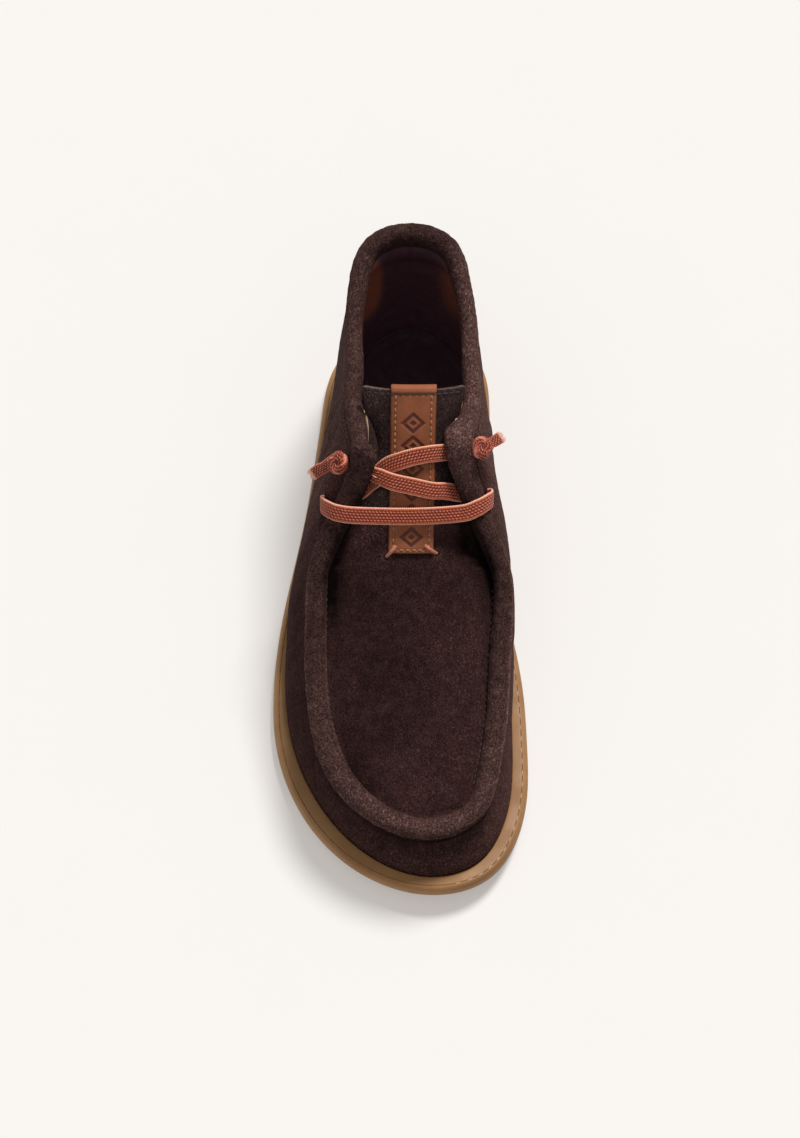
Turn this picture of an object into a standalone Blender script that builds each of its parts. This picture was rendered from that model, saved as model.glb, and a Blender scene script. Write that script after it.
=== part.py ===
"""Ankle-high moccasin boot for the right foot, standing empty on its sole.

Metres, +Z up. The toe points along -Y, the inner (big toe) side is +X and the sole rests on Z = 0.
The tables and named sizes below are in millimetres.
"""

import bmesh
import bpy
import numpy as np
from mathutils import Vector

MM = 0.001
GAP = 0.3  # between two pieces that touch
PER_RIB = 3  # columns of faces from each rib of the table to the next

SOLE_END = 130.8  # half the length of the sole
FLOOR_Z = 4.5  # inside floor of the sole, which the upper and the insole stand on
RIM_Z = 8.0  # top of the sole's rim
TOE_SPRING = 5.0
TOE_SPRING_FROM = -70.0  # y where the sole starts to curve up towards the toe
HEEL_LIFT = 1.2
HEEL_LIFT_FROM = 105.0
ARCH_LIFT = 1.6  # how far the sole is hollowed under the inner waist

WALL = 2.4  # thickness of the upper's leather and lining together
ROLL_END = 215.0  # where a rolled edge ends on its inner side, degrees round its ellipse
HEEL_SHARE = 0.38  # how far up the wall its lower fullness acts, as a share of its height
LINING_FREE = 0.62  # where the lining leaves the wall to meet the rolled edge, as a share of its height
FACING_STEP = 0.01  # share of the wall's height over which its slope is measured

INSOLE_THICK = 2.6
INSOLE_SHARES = (0.55, 0.14)
INSOLE_CLEAR = 2 * GAP  # between the insole and the lining
RIM_DROP = 0.2  # how far the rim's inner edge lies below its top
TONGUE_THICK = 2.4
TONGUE_BEHIND = 0.35  # how far the tongue starts behind the apron, and in from the rolled edges
TONGUE_INSET = 2.0
STRIP_WIDTH = 18.0
STRIP_THICK = 1.6
STRIP_LIFT = 0.5  # over the tongue's smooth surface, whose flat faces stand a little off it
LACE_WIDTH = 7.0
LACE_THICK = 1.3
EYELET_BORE = 5.0
EYELET_FINE = 12  # columns to a rib where the eyelets are placed
CUTTER_DEPTH = 5 * WALL  # of each eyelet's cutter, well through the wall

# One row for each rib of the upper, from the back of the heel along the outer side (-X) to the toe
# and back along the inner side. edge: outline of the sole's rim. ledge: width of the rim's top.
# low, high: fullness of the wall near the sole and below the top. top: crest of the rolled edge,
# which is the collar, the facing or the ridge round the apron. half: half its width. deep: half its
# depth. tuck: how far its outer side curls under, degrees. lean: how far it tips outwards, degrees.
COLUMNS = "edge_x edge_y ledge low high shoulder top_x top_y top_z half deep tuck lean".split()
RIBS = (
    ("heel_back", 4.0, 130.8, 4.6, 6.5, 2.0, 0.38, 4.0, 121.4, 99.8, 4.5, 5.4, 20, 0),
    ("heel_corner_outer", -14.5, 123.0, 4.6, 5.5, 2.0, 0.38, -11.0, 115.8, 99.0, 4.4, 5.4, 20, 0),
    ("heel_side_outer", -27.9, 106.5, 4.6, 3.0, 2.0, 0.38, -16.4, 103.2, 95.6, 4.0, 5.2, 20, 0),
    ("ankle_back_outer", -33.1, 84.0, 4.6, 1.2, 1.2, 0.38, -18.6, 83.5, 91.8, 3.6, 5.0, 20, 0),
    ("ankle_outer", -36.0, 61.0, 4.6, 3.7, 3.2, 0.38, -18.4, 62.5, 90.8, 3.7, 5.0, 20, 0),
    ("quarter_outer", -39.2, 38.5, 4.6, 5.7, 7.0, 0.30, -17.8, 43.0, 92.0, 3.9, 4.8, 22, 0),
    ("tip_outer", -42.4, 21.0, 4.6, 6.3, 11.0, 0.20, -14.4, 25.5, 94.5, 5.0, 4.2, 28, 4),
    ("facing_top_outer", -44.8, 9.5, 4.6, 5.4, 12.0, 0.17, -20.0, 14.0, 81.0, 4.8, 3.8, 35, 8),
    ("facing_low_outer", -47.1, -2.0, 4.6, 4.4, 11.0, 0.18, -26.8, 3.5, 71.0, 4.4, 3.6, 40, 12),
    ("throat_outer", -49.2, -14.5, 4.6, 4.2, 8.0, 0.27, -33.0, -9.5, 62.0, 4.3, 3.4, 45, 15),
    ("vamp_outer", -51.1, -30.5, 4.8, 3.0, 4.0, 0.34, -34.6, -24.5, 55.0, 4.5, 3.3, 48, 18),
    ("ball_outer", -51.8, -50.5, 5.8, 2.0, 3.0, 0.38, -34.8, -45.6, 47.5, 4.5, 3.3, 50, 20),
    ("toe_side_outer", -48.5, -74.8, 7.0, 1.5, 2.5, 0.38, -31.3, -74.0, 41.5, 4.4, 3.3, 50, 22),
    ("little_toe", -38.4, -97.9, 7.7, 1.0, 2.0, 0.38, -22.6, -93.6, 38.0, 4.4, 3.3, 50, 22),
    ("toe_outer", -19.2, -119.1, 7.2, 1.0, 2.0, 0.38, -7.5, -107.5, 36.0, 4.2, 3.3, 50, 22),
    ("toe_tip", 11.0, -130.8, 6.3, 1.0, 2.0, 0.38, 13.2, -112.8, 35.5, 4.2, 3.3, 50, 22),
    ("big_toe_front", 36.8, -122.9, 7.2, 1.0, 2.0, 0.38, 30.0, -105.2, 36.0, 4.3, 3.3, 50, 22),
    ("big_toe_side", 49.8, -98.0, 7.0, 1.0, 2.0, 0.38, 36.2, -88.9, 38.2, 4.5, 3.3, 50, 20),
    ("ball_inner", 51.8, -68.0, 6.6, 1.3, 1.6, 0.38, 39.6, -66.0, 43.0, 4.6, 3.3, 50, 18),
    ("vamp_inner", 49.9, -38.0, 5.9, 4.6, 3.2, 0.34, 41.4, -37.0, 50.5, 4.5, 3.3, 48, 16),
    ("throat_inner", 44.6, -9.0, 4.6, 8.2, 5.6, 0.27, 40.9, -10.0, 61.5, 4.0, 3.4, 45, 14),
    ("facing_low_inner", 41.2, 8.0, 4.4, 12.0, 10.6, 0.18, 34.0, 4.5, 71.5, 4.2, 3.6, 40, 12),
    ("facing_top_inner", 38.8, 22.0, 4.4, 13.6, 14.0, 0.17, 28.4, 15.5, 81.5, 4.8, 3.8, 35, 8),
    ("tip_inner", 37.3, 38.0, 4.4, 12.6, 14.0, 0.20, 23.8, 27.0, 94.5, 5.2, 4.2, 28, 4),
    ("quarter_inner", 37.1, 55.0, 4.4, 8.8, 8.4, 0.30, 28.2, 45.0, 92.0, 3.8, 4.8, 22, 0),
    ("ankle_inner", 37.8, 73.0, 4.4, 5.6, 3.4, 0.38, 28.4, 63.0, 90.8, 3.7, 5.0, 20, 0),
    ("ankle_back_inner", 37.9, 90.0, 4.4, 3.4, 1.4, 0.38, 27.8, 83.5, 91.8, 3.6, 5.0, 20, 0),
    ("heel_side_inner", 34.1, 108.5, 4.4, 3.6, 1.7, 0.38, 24.5, 103.2, 95.6, 3.9, 5.2, 20, 0),
    ("heel_corner_inner", 21.5, 123.5, 4.6, 5.5, 2.0, 0.38, 19.0, 115.8, 99.0, 4.4, 5.4, 20, 0),
)

# Side of the sole, from its bottom edge up over the rim and down inside to the floor.
# out: distance out from the outline. up: height.
SOLE_SIDE = ((-3.0, 0.0), (-1.0, 0.8), (-0.2, 2.4), (0.0, 4.6), (-0.2, 6.8), (-1.0, 7.8), (-2.4, RIM_Z))
# Middle line of the sole, which its floor and tread are drawn in to: y, x.
SPINE = ((-85.0, 5.0), (0.0, -1.5), (95.0, 3.0))

THROAT_CROWN = 6.0  # how far the apron stands up in the middle at the throat, and along its length
APRON_CROWN = 2.0
THROAT_RISE = np.array([0.0, -0.45, 0.89])  # the way that crown points
ARCH_POWER = 2.6  # how flat the middle of the apron and of the tongue is across

# Tongue, from the throat to its free top edge. y, z: middle of the section. left, right: x of its
# edges. crown: how far the middle stands above the edges.
TONGUE = (
    ("start", -6.0, 66.4, -24.8, 32.2, 9.0),
    ("low", 3.0, 71.9, -22.5, 30.5, 9.0),
    ("lace", 14.0, 80.0, -18.0, 26.5, 10.0),
    ("tips", 27.0, 90.0, -11.8, 21.0, 10.0),
    ("high", 37.5, 98.2, -12.4, 22.6, 7.5),
    ("top", 45.7, 104.4, -13.3, 24.4, 6.0),
)
TONGUE_SLOPE = np.radians(38.0)
TONGUE_ROWS = 15
TONGUE_COLUMNS = 13
STRIP_FROM = 0.84  # where the leather strip starts along the tongue, in rows of its table
STRIP_MIDDLE = ((0.0, 4.1), (6.0, 5.5))  # row of the tongue's table, x

# Eyelets: rib before it, share of the way to the next rib, height as a share of the wall.
EYELETS = {
    "lower_outer": ("facing_top_outer", 0.08, 0.78),
    "upper_outer": ("tip_outer", 0.17, 0.90),
    "lower_inner": ("facing_low_inner", 0.83, 0.89),
    "upper_inner": ("tip_inner", 0.17, 0.955),
}

# Route of the middle of the lace's outer bar, which lies over both rolled edges.
BAR_ROUTE = (
    (-32.1, 14.6, 66.2), (-31.7, 12.8, 68.8), (-30.7, 10.3, 71.8), (-28.4, 7.8, 74.5),
    (-24.8, 5.6, 76.0), (-17.0, 4.2, 76.5), (5.0, 3.5, 77.1), (24.0, 4.8, 77.0),
    (30.9, 7.3, 77.2), (34.8, 10.2, 76.0), (37.0, 13.0, 73.2), (37.6, 15.2, 70.8),
)
# Routes of the two straps that cross on the tongue: row of the tongue's table, x, height above it.
UNDER_ROUTE = (
    (3.88, 16.2, 3.4), (3.90, 12.0, 3.8), (3.83, 5.0, 3.6), (3.73, 0.0, 3.5),
    (3.60, -4.5, 3.3), (3.50, -6.6, 2.9), (3.42, -7.7, 2.7),
)
OVER_ROUTE = (
    (2.93, 18.6, 2.8), (3.0, 13.0, 3.6), (3.13, 5.0, 4.0),
    (3.24, -3.0, 3.9), (3.33, -8.0, 3.7), (3.35, -9.6, 3.5),
)
SLOPE_UP = np.array([0.0, np.cos(TONGUE_SLOPE), np.sin(TONGUE_SLOPE)])
SLOPE_FACE = np.array([0.0, -np.sin(TONGUE_SLOPE), np.cos(TONGUE_SLOPE)])

# Knot and end of the lace outside each upper eyelet: x, y, z and radius along it.
OUTER_KNOT = (
    (-23.4, 23.6, 83.9, 2.0), (-26.0, 23.6, 83.2, 4.0), (-29.2, 23.6, 81.4, 3.4),
    (-32.8, 22.6, 78.8, 2.2), (-36.4, 21.6, 76.4, 2.4),
)
INNER_KNOT = (
    (30.6, 28.0, 88.6, 2.0), (32.8, 27.8, 89.0, 3.8), (35.4, 29.0, 88.9, 3.0),
    (37.8, 30.8, 88.6, 2.4), (40.2, 32.8, 88.2, 2.5),
)

# How finely each piece is divided.
WALL_SHARES = (0, 0.05, 0.14, 0.27, 0.42, 0.57, 0.72, 0.85, 0.94)
ROLL_TURNS = (0, 0.14, 0.3, 0.45, 0.6, 0.76, 0.9, 1)
LINING_SHARES = (0, 0.1, 0.27, 0.45, LINING_FREE, 0.75, 0.87, 1)
FLOOR_SHARES = (0.7, 0.4, 0.14)
BAR_POINTS = 41
STRAP_POINTS = 17
LACE_COLUMNS = 4
STRIP_COLUMNS = 5
KNOT_POINTS = 13
KNOT_SIDES = 10
EYELET_SIDES = 12
FINE = 40  # points read for each row of a table or route, where it is searched


def rib_index(name):
    return [row[0] for row in RIBS].index(name)


def closed_spline(knots, values, at):
    """Points at the lengths `at` on a smooth closed curve through `values`."""
    gaps = np.diff(knots)
    count = len(gaps)
    here = np.arange(count)
    before = (here - 1) % count
    after = (here + 1) % count
    rise = (values[after] - values) / gaps[:, None]
    matrix = np.zeros((count, count))
    matrix[here, here] = 2 * (gaps[before] + gaps)
    np.add.at(matrix, (here, before), gaps[before])
    np.add.at(matrix, (here, after), gaps)
    bend = np.linalg.solve(matrix, 6 * (rise - rise[before]))
    at = np.mod(at, knots[-1])
    k = np.clip(np.searchsorted(knots, at, side="right") - 1, 0, count - 1)
    to_next = (knots[k + 1] - at)[:, None]
    gone = (at - knots[k])[:, None]
    gap = gaps[k][:, None]
    curve = (bend[k] * to_next**3 + bend[after[k]] * gone**3) / (6 * gap)
    first = (values[k] / gap - bend[k] * gap / 6) * to_next
    last = (values[after[k]] / gap - bend[after[k]] * gap / 6) * gone
    return curve + first + last


class Ring:
    """The rib table read at `per_rib` places from each rib to the next."""

    def __init__(self, per_rib):
        rows = np.array([row[1:] for row in RIBS], float)
        steps = sum(
            np.linalg.norm(np.roll(rows[:, cut], -1, axis=0) - rows[:, cut], axis=1) / 2
            for cut in (slice(0, 2), slice(6, 9))
        )
        knots = np.concatenate([[0.0], np.cumsum(steps)])
        at = (knots[:-1, None] + steps[:, None] * np.arange(per_rib) / per_rib).ravel()
        self.per_rib = per_rib
        self.count = len(at)
        for name, column in zip(COLUMNS, closed_spline(knots, rows, at).T):
            setattr(self, name, column)
        self.edge = np.stack([self.edge_x, self.edge_y], axis=1)
        self.top = np.stack([self.top_x, self.top_y, self.top_z], axis=1)
        self.edge_out = outward(self.edge)
        self.top_out = outward(self.top[:, :2])

    def column(self, rib_name):
        return rib_index(rib_name) * self.per_rib


def outward(outline):
    """Level unit vectors that point out of a closed outline which runs anticlockwise."""
    along = np.roll(outline, -1, axis=0) - np.roll(outline, 1, axis=0)
    out = np.stack([along[:, 1], -along[:, 0]], axis=1)
    return out / np.linalg.norm(out, axis=1)[:, None]


def ease(value, start, end):
    share = np.clip((value - start) / (end - start), 0, 1)
    return share * share * (3 - 2 * share)


def spring(y):
    """Height of the sole's curve above the floor."""
    toe = np.clip((TOE_SPRING_FROM - y) / (SOLE_END + TOE_SPRING_FROM), 0, None)
    heel = np.clip((y - HEEL_LIFT_FROM) / (SOLE_END - HEEL_LIFT_FROM), 0, None)
    return TOE_SPRING * toe**2 + HEEL_LIFT * heel**2


def arch(x, y):
    """Height of the hollow under the inner waist."""
    return ARCH_LIFT * np.exp(-(((y - 18) / 34) ** 2)) * ease(x, 2, 30)


def from_edge(ring, out, up):
    """A closed row of points `out` from the sole's outline, at height `up`."""
    level = ring.edge + ring.edge_out * np.reshape(out, (-1, 1))
    return np.column_stack([level, up + spring(level[:, 1])])


def from_crest(ring, out, up):
    """A closed row of points placed from the crest of the rolled edge, in its leaning frame."""
    lean = np.radians(ring.lean)
    level = out * np.cos(lean) + up * np.sin(lean)
    height = up * np.cos(lean) - out * np.sin(lean)
    return ring.top + np.column_stack([ring.top_out * level[:, None], height])


def roll_row(ring, turn):
    """A row on the rolled edge. turn: 0 at its outer tuck, 1 at its inner end."""
    angle = np.radians(-ring.tuck + turn * (ROLL_END + ring.tuck))
    return from_crest(ring, ring.half * np.cos(angle), ring.deep * (np.sin(angle) - 1))


def wall_row(ring, share):
    """A row on the outside of the wall. share: 0 just above the rim, 1 at the rolled edge's tuck."""
    foot = from_edge(ring, -ring.ledge - GAP, RIM_Z + GAP)
    head = roll_row(ring, 0)
    up = np.array([0, 0, 1]) * (head[:, 2] - foot[:, 2])[:, None]
    out = np.column_stack([ring.edge_out, np.zeros(ring.count)])
    lower = foot + up * HEEL_SHARE + out * ring.low[:, None]
    upper = head - up * ring.shoulder[:, None] + out * ring.high[:, None]
    rest = 1 - share
    return rest**3 * foot + 3 * rest**2 * share * lower + 3 * rest * share**2 * upper + share**3 * head


def wall_facing(ring, share):
    """Unit vectors out of the wall along one of its rows."""
    climb = wall_row(ring, share + FACING_STEP) - wall_row(ring, share - FACING_STEP)
    row = wall_row(ring, share)
    along = np.roll(row, -1, axis=0) - np.roll(row, 1, axis=0)
    out = np.cross(along, climb)
    return out / np.linalg.norm(out, axis=1)[:, None]


def lining_top(ring):
    """Where the lining ends, one wall thickness under the inner end of the rolled edge."""
    angle = np.radians(ROLL_END)
    return from_crest(ring, ring.half * np.cos(angle), ring.deep * (np.sin(angle) - 1) - WALL)


def lining_row(ring, share):
    """A row on the inside of the wall, which leaves it near the top to meet the rolled edge."""
    plain = wall_row(ring, share) - wall_facing(ring, share) * WALL
    head = wall_row(ring, 1) - wall_facing(ring, 1) * WALL
    return plain + (lining_top(ring) - head) * ease(share, LINING_FREE, 1)


def arched(share):
    """Height across an arch, 0 at its ends and 1 in its middle."""
    return 1 - np.abs(2 * share - 1) ** ARCH_POWER


def apron_grid(ring, rim, crown):
    """The apron, from its rim (a closed row of which it takes the front part) and its crown."""
    first = ring.column("throat_outer")
    corner_outer = ring.column("little_toe")
    corner_inner = ring.column("big_toe_front")
    last = ring.column("throat_inner")
    outer = rim[first : corner_outer + 1]
    front = rim[corner_outer : corner_inner + 1]
    inner = rim[corner_inner : last + 1][::-1]
    across = np.linspace(0, 1, len(front))[:, None]
    arc = arched(across)
    back = outer[0] * (1 - across) + inner[0] * across + crown * arc * THROAT_RISE
    down = np.linspace(0, 1, len(outer))[:, None, None]
    side = across[None]
    ruled = (1 - side) * outer[:, None] + side * inner[:, None]
    lofted = (1 - down) * back[None] + down * front[None]
    corners = (1 - down) * ((1 - side) * outer[0] + side * inner[0])
    corners = corners + down * ((1 - side) * outer[-1] + side * inner[-1])
    grid = ruled + lofted - corners
    grid[..., 2] += APRON_CROWN * np.sin(np.pi * down[..., 0]) * arc[None, :, 0]
    return grid


class Skin:
    """Gathers rows of points and the faces between them, then makes one closed mesh."""

    def __init__(self):
        self.points = []
        self.faces = []

    def row(self, points):
        start = len(self.points)
        self.points.extend(np.asarray(points, float))
        return np.arange(start, len(self.points))

    def grid(self, points):
        rows = [self.row(line) for line in points]
        for one, two in zip(rows, rows[1:]):
            self.strip(one, two)
        return np.array(rows)

    def strip(self, one, two, closed=False):
        count = len(one) if closed else len(one) - 1
        for i in range(count):
            j = (i + 1) % len(one)
            face = [one[i], one[j], two[j], two[i]]
            kept = [p for k, p in enumerate(face) if p != face[k - 1]]
            if len(kept) > 2:
                self.faces.append(kept)

    def bands(self, rows):
        for one, two in zip(rows, rows[1:]):
            self.strip(one, two, closed=True)

    def node(self, name, material):
        mesh = bpy.data.meshes.new(name)
        mesh.from_pydata([tuple(p * MM) for p in self.points], [], [tuple(map(int, f)) for f in self.faces])
        shape = bmesh.new()
        shape.from_mesh(mesh)
        bmesh.ops.triangulate(shape, faces=[f for f in shape.faces if len(f.verts) > 4])
        bmesh.ops.recalc_face_normals(shape, faces=shape.faces)
        shape.to_mesh(mesh)
        shape.free()
        mesh.shade_smooth()
        mesh.materials.append(material)
        thing = bpy.data.objects.new(name, mesh)
        bpy.context.scene.collection.objects.link(thing)
        return thing


def plain_material(name, colour, roughness):
    material = bpy.data.materials.new(name)
    material.use_nodes = True
    shader = material.node_tree.nodes["Principled BSDF"]
    shader.inputs["Base Color"].default_value = (*colour, 1)
    shader.inputs["Roughness"].default_value = roughness
    shader.inputs["Metallic"].default_value = 0
    return material


def close_to_spine(skin, row, height, shares=FLOOR_SHARES):
    """Fills a closed row of points inwards to the sole's middle line, through rows at these shares."""
    outline = np.array([skin.points[i] for i in row])
    y = np.clip(outline[:, 1], SPINE[0][0], SPINE[-1][0])
    middle = np.column_stack([np.interp(y, *zip(*SPINE)), y])
    rows = [row]
    for share in shares:
        level = middle + (outline[:, :2] - middle) * share
        rows.append(skin.row(np.column_stack([level, height(level[:, 0], level[:, 1])])))
    skin.bands(rows)
    skin.faces.append(list(rows[-1]))


def make_outsole(ring, material):
    skin = Skin()
    rows = []
    for out, up in SOLE_SIDE:
        points = from_edge(ring, out, up)
        points[:, 2] += arch(points[:, 0], points[:, 1]) * (1 - up / RIM_Z)
        rows.append(skin.row(points))
    rows.append(skin.row(from_edge(ring, -ring.ledge, RIM_Z - RIM_DROP)))
    rows.append(skin.row(from_edge(ring, -ring.ledge, FLOOR_Z)))
    skin.bands(rows)
    close_to_spine(skin, rows[0], lambda x, y: spring(y) + arch(x, y))
    close_to_spine(skin, rows[-1], lambda x, y: FLOOR_Z + spring(y))
    return skin.node("outsole", material)


def make_insole(ring, material):
    skin = Skin()
    inset = -ring.ledge - GAP - WALL - INSOLE_CLEAR
    low = skin.row(from_edge(ring, inset, FLOOR_Z + GAP))
    high = skin.row(from_edge(ring, inset, FLOOR_Z + GAP + INSOLE_THICK))
    skin.bands([low, high])
    close_to_spine(skin, low, lambda x, y: FLOOR_Z + GAP + spring(y), INSOLE_SHARES)
    close_to_spine(skin, high, lambda x, y: FLOOR_Z + GAP + INSOLE_THICK + spring(y), INSOLE_SHARES)
    return skin.node("insole", material)


def make_upper(ring, material):
    skin = Skin()
    outside = [skin.row(from_edge(ring, -ring.ledge - GAP, FLOOR_Z + GAP))]
    outside += [skin.row(wall_row(ring, share)) for share in WALL_SHARES]
    outside += [skin.row(roll_row(ring, turn)) for turn in ROLL_TURNS]
    inside = [skin.row(from_edge(ring, -ring.ledge - GAP - WALL, FLOOR_Z + GAP))]
    inside += [skin.row(lining_row(ring, share)) for share in LINING_SHARES]
    skin.bands(outside)
    skin.bands(inside)
    skin.strip(outside[0], inside[0], closed=True)
    first = ring.column("throat_outer")
    last = ring.column("throat_inner")
    collar = np.r_[last : ring.count, 0 : first + 1]
    skin.strip(outside[-1][collar], inside[-1][collar])
    edges = []
    for rim in (outside[-1], inside[-1]):
        points = apron_grid(ring, np.array([skin.points[i] for i in rim]), THROAT_CROWN)
        edges.append(apron_faces(skin, ring, rim, points))
    skin.strip(*edges)
    return skin.node("upper", material)


def apron_faces(skin, ring, rim, points):
    """Adds the apron's faces, sharing the rim's own points, and returns its free back edge."""
    first = ring.column("throat_outer")
    corner_outer = ring.column("little_toe")
    corner_inner = ring.column("big_toe_front")
    last = ring.column("throat_inner")
    rows, columns = points.shape[:2]
    index = np.empty((rows, columns), int)
    index[:, 0] = rim[first : corner_outer + 1]
    index[-1] = rim[corner_outer : corner_inner + 1]
    index[:, -1] = rim[corner_inner : last + 1][::-1]
    for r in range(rows - 1):
        index[r, 1:-1] = skin.row(points[r, 1:-1])
    for one, two in zip(index, index[1:]):
        skin.strip(one, two)
    return index[0]


def smooth(route, count):
    """`count` points on a smooth open curve through a route."""
    route = np.asarray(route, float)
    ends = np.vstack([2 * route[0] - route[1], route, 2 * route[-1] - route[-2]])
    at = np.linspace(0, len(route) - 1, count)
    k = np.minimum(at.astype(int), len(route) - 2)
    t = (at - k)[:, None]
    a, b, c, d = ends[k], ends[k + 1], ends[k + 2], ends[k + 3]
    return 0.5 * (2 * b + (c - a) * t + (2 * a - 5 * b + 4 * c - d) * t**2 + (3 * b - 3 * c + d - a) * t**3)


class Tongue:
    """The outside of the tongue. row: 0 at the throat, then a row of its table each. share: across."""

    def __init__(self, ring):
        first = roll_row(ring, 1)[ring.column("throat_outer")]
        last = roll_row(ring, 1)[ring.column("throat_inner")]
        middle = (first + last) / 2 + THROAT_RISE * THROAT_CROWN
        left = first[0] + TONGUE_INSET
        right = last[0] - TONGUE_INSET
        start = (middle[1] + TONGUE_BEHIND, middle[2], left, right, THROAT_CROWN)
        table = np.array([start, *(row[1:] for row in TONGUE)])
        self.last = len(table) - 1
        self.fine = smooth(table, FINE * self.last + 1)

    def read(self, row):
        """y, z, left, right and crown of the section at a row."""
        places = np.linspace(0, self.last, len(self.fine))
        return [np.interp(row, places, column) for column in self.fine.T]

    def at(self, row, x):
        """Points of the surface at the given rows of the table and the given x."""
        row, x = np.broadcast_arrays(np.asarray(row, float), np.asarray(x, float))
        y, z, left, right, crown = self.read(row)
        drop = crown * (1 - arched((x - left) / (right - left)))
        return np.stack([x, y + drop * np.sin(TONGUE_SLOPE), z - drop * np.cos(TONGUE_SLOPE)], axis=-1)


def slab(name, upper_grid, lower_grid, material):
    """A closed sheet between two grids of points of the same shape."""
    skin = Skin()
    high = skin.grid(upper_grid)
    low = skin.grid(lower_grid)
    skin.strip(border(high), border(low), closed=True)
    return skin.node(name, material)


def border(index):
    return np.concatenate([index[0, :-1], index[:-1, -1], index[-1, :0:-1], index[:0:-1, 0]])


def make_tongue(tongue, material):
    rows = np.linspace(0, tongue.last, TONGUE_ROWS)[:, None]
    _, _, left, right, _ = tongue.read(rows)
    share = np.linspace(0, 1, TONGUE_COLUMNS)[None, :]
    high = tongue.at(rows, left + (right - left) * share)
    low = high - np.array([0, 0, TONGUE_THICK / np.cos(TONGUE_SLOPE)])
    return slab("tongue", high, low, material)


def make_strip(tongue, material):
    rows = np.linspace(STRIP_FROM, tongue.last, TONGUE_ROWS)[:, None]
    middle = np.interp(rows, *zip(*STRIP_MIDDLE))
    x = middle + np.linspace(-0.5, 0.5, STRIP_COLUMNS)[None, :] * STRIP_WIDTH
    low = tongue.at(rows, x) + SLOPE_FACE * STRIP_LIFT
    return slab("tongue_strip", low + SLOPE_FACE * STRIP_THICK, low, material)


def ribbon(route, count):
    """Two grids, the outer and inner faces of a flat lace along a route."""
    middle = smooth(route, count)
    along = np.gradient(middle, axis=0)
    face = np.cross(along, SLOPE_UP)
    face /= np.linalg.norm(face, axis=1)[:, None]
    face *= np.sign(face[:, 2:])
    side = np.cross(face, along)
    side /= np.linalg.norm(side, axis=1)[:, None]
    spread = np.linspace(-0.5, 0.5, LACE_COLUMNS)[None, :, None] * LACE_WIDTH
    grid = middle[:, None] + side[:, None] * spread
    half = face[:, None] * LACE_THICK / 2
    return grid + half, grid - half


def over_tongue(tongue, route):
    """Points above the tongue, from rows of its table, x and height."""
    row, x, lift = np.array(route).T
    return tongue.at(row, x) + SLOPE_FACE * lift[:, None]


def make_lace(tongue, material):
    slab("lace_bar", *ribbon(BAR_ROUTE, BAR_POINTS), material)
    crossing = slab("lace_crossing", *ribbon(over_tongue(tongue, UNDER_ROUTE), STRAP_POINTS), material)
    strap = slab("lace_strap", *ribbon(over_tongue(tongue, OVER_ROUTE), STRAP_POINTS), material)
    strap.hide_render = True
    strap.display_type = "WIRE"
    union = crossing.modifiers.new("strap", "BOOLEAN")
    union.operation = "UNION"
    union.object = strap


def make_knot(name, route, material):
    points = smooth(route, KNOT_POINTS)
    along = np.gradient(points[:, :3], axis=0)
    side = np.cross(along, [0, 0, 1])
    side /= np.linalg.norm(side, axis=1)[:, None]
    rise = np.cross(side, along)
    rise /= np.linalg.norm(rise, axis=1)[:, None]
    turn = np.arange(KNOT_SIDES) * 2 * np.pi / KNOT_SIDES
    skin = Skin()
    rows = []
    for middle, one, two, radius in zip(points[:, :3], side, rise, points[:, 3]):
        circle = np.cos(turn)[:, None] * one + np.sin(turn)[:, None] * two
        rows.append(skin.row(middle + circle * radius))
    skin.bands(rows)
    skin.faces.append(list(rows[0]))
    skin.faces.append(list(rows[-1]))
    return skin.node(name, material)


def bore_eyelets(upper):
    """Cuts the four lace holes square through the wall."""
    ring = Ring(EYELET_FINE)
    for name, (rib, share, height) in EYELETS.items():
        column = ring.column(rib) + round(share * EYELET_FINE)
        place = wall_row(ring, height)[column]
        facing = wall_facing(ring, height)[column]
        mesh = bpy.data.meshes.new(name)
        shape = bmesh.new()
        bmesh.ops.create_cone(
            shape, cap_ends=True, segments=EYELET_SIDES, radius1=EYELET_BORE / 2 * MM,
            radius2=EYELET_BORE / 2 * MM, depth=CUTTER_DEPTH * MM,
        )
        shape.to_mesh(mesh)
        shape.free()
        cutter = bpy.data.objects.new(name, mesh)
        bpy.context.scene.collection.objects.link(cutter)
        cutter.location = place * MM
        cutter.rotation_euler = Vector(facing).to_track_quat("Z", "Y").to_euler()
        cutter.hide_render = True
        cutter.display_type = "WIRE"
        cut = upper.modifiers.new(name, "BOOLEAN")
        cut.operation = "DIFFERENCE"
        cut.object = cutter


def remove_everything():
    for thing in list(bpy.data.objects):
        bpy.data.objects.remove(thing, do_unlink=True)


def main():
    remove_everything()
    suede = plain_material("suede", (0.035, 0.018, 0.015), 0.95)
    gum = plain_material("gum_rubber", (0.30, 0.18, 0.07), 0.6)
    lining = plain_material("lining_leather", (0.35, 0.17, 0.07), 0.7)
    lace = plain_material("lace_weave", (0.55, 0.13, 0.07), 0.8)
    ring = Ring(PER_RIB)
    make_outsole(ring, gum)
    make_insole(ring, lining)
    bore_eyelets(make_upper(ring, suede))
    tongue = Tongue(ring)
    make_tongue(tongue, suede)
    make_strip(tongue, lining)
    make_lace(tongue, lace)
    make_knot("lace_knot_outer", OUTER_KNOT, lace)
    make_knot("lace_knot_inner", INNER_KNOT, lace)


main()
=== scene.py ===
"""Looks of the ankle-high suede moccasin boot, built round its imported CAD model.

Tables, sizes and shapes are in millimetres, and become metres when a mesh is made. The toe points
along -Y, the inner (big toe) side is +X and the sole rests on Z = 0.
"""

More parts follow.
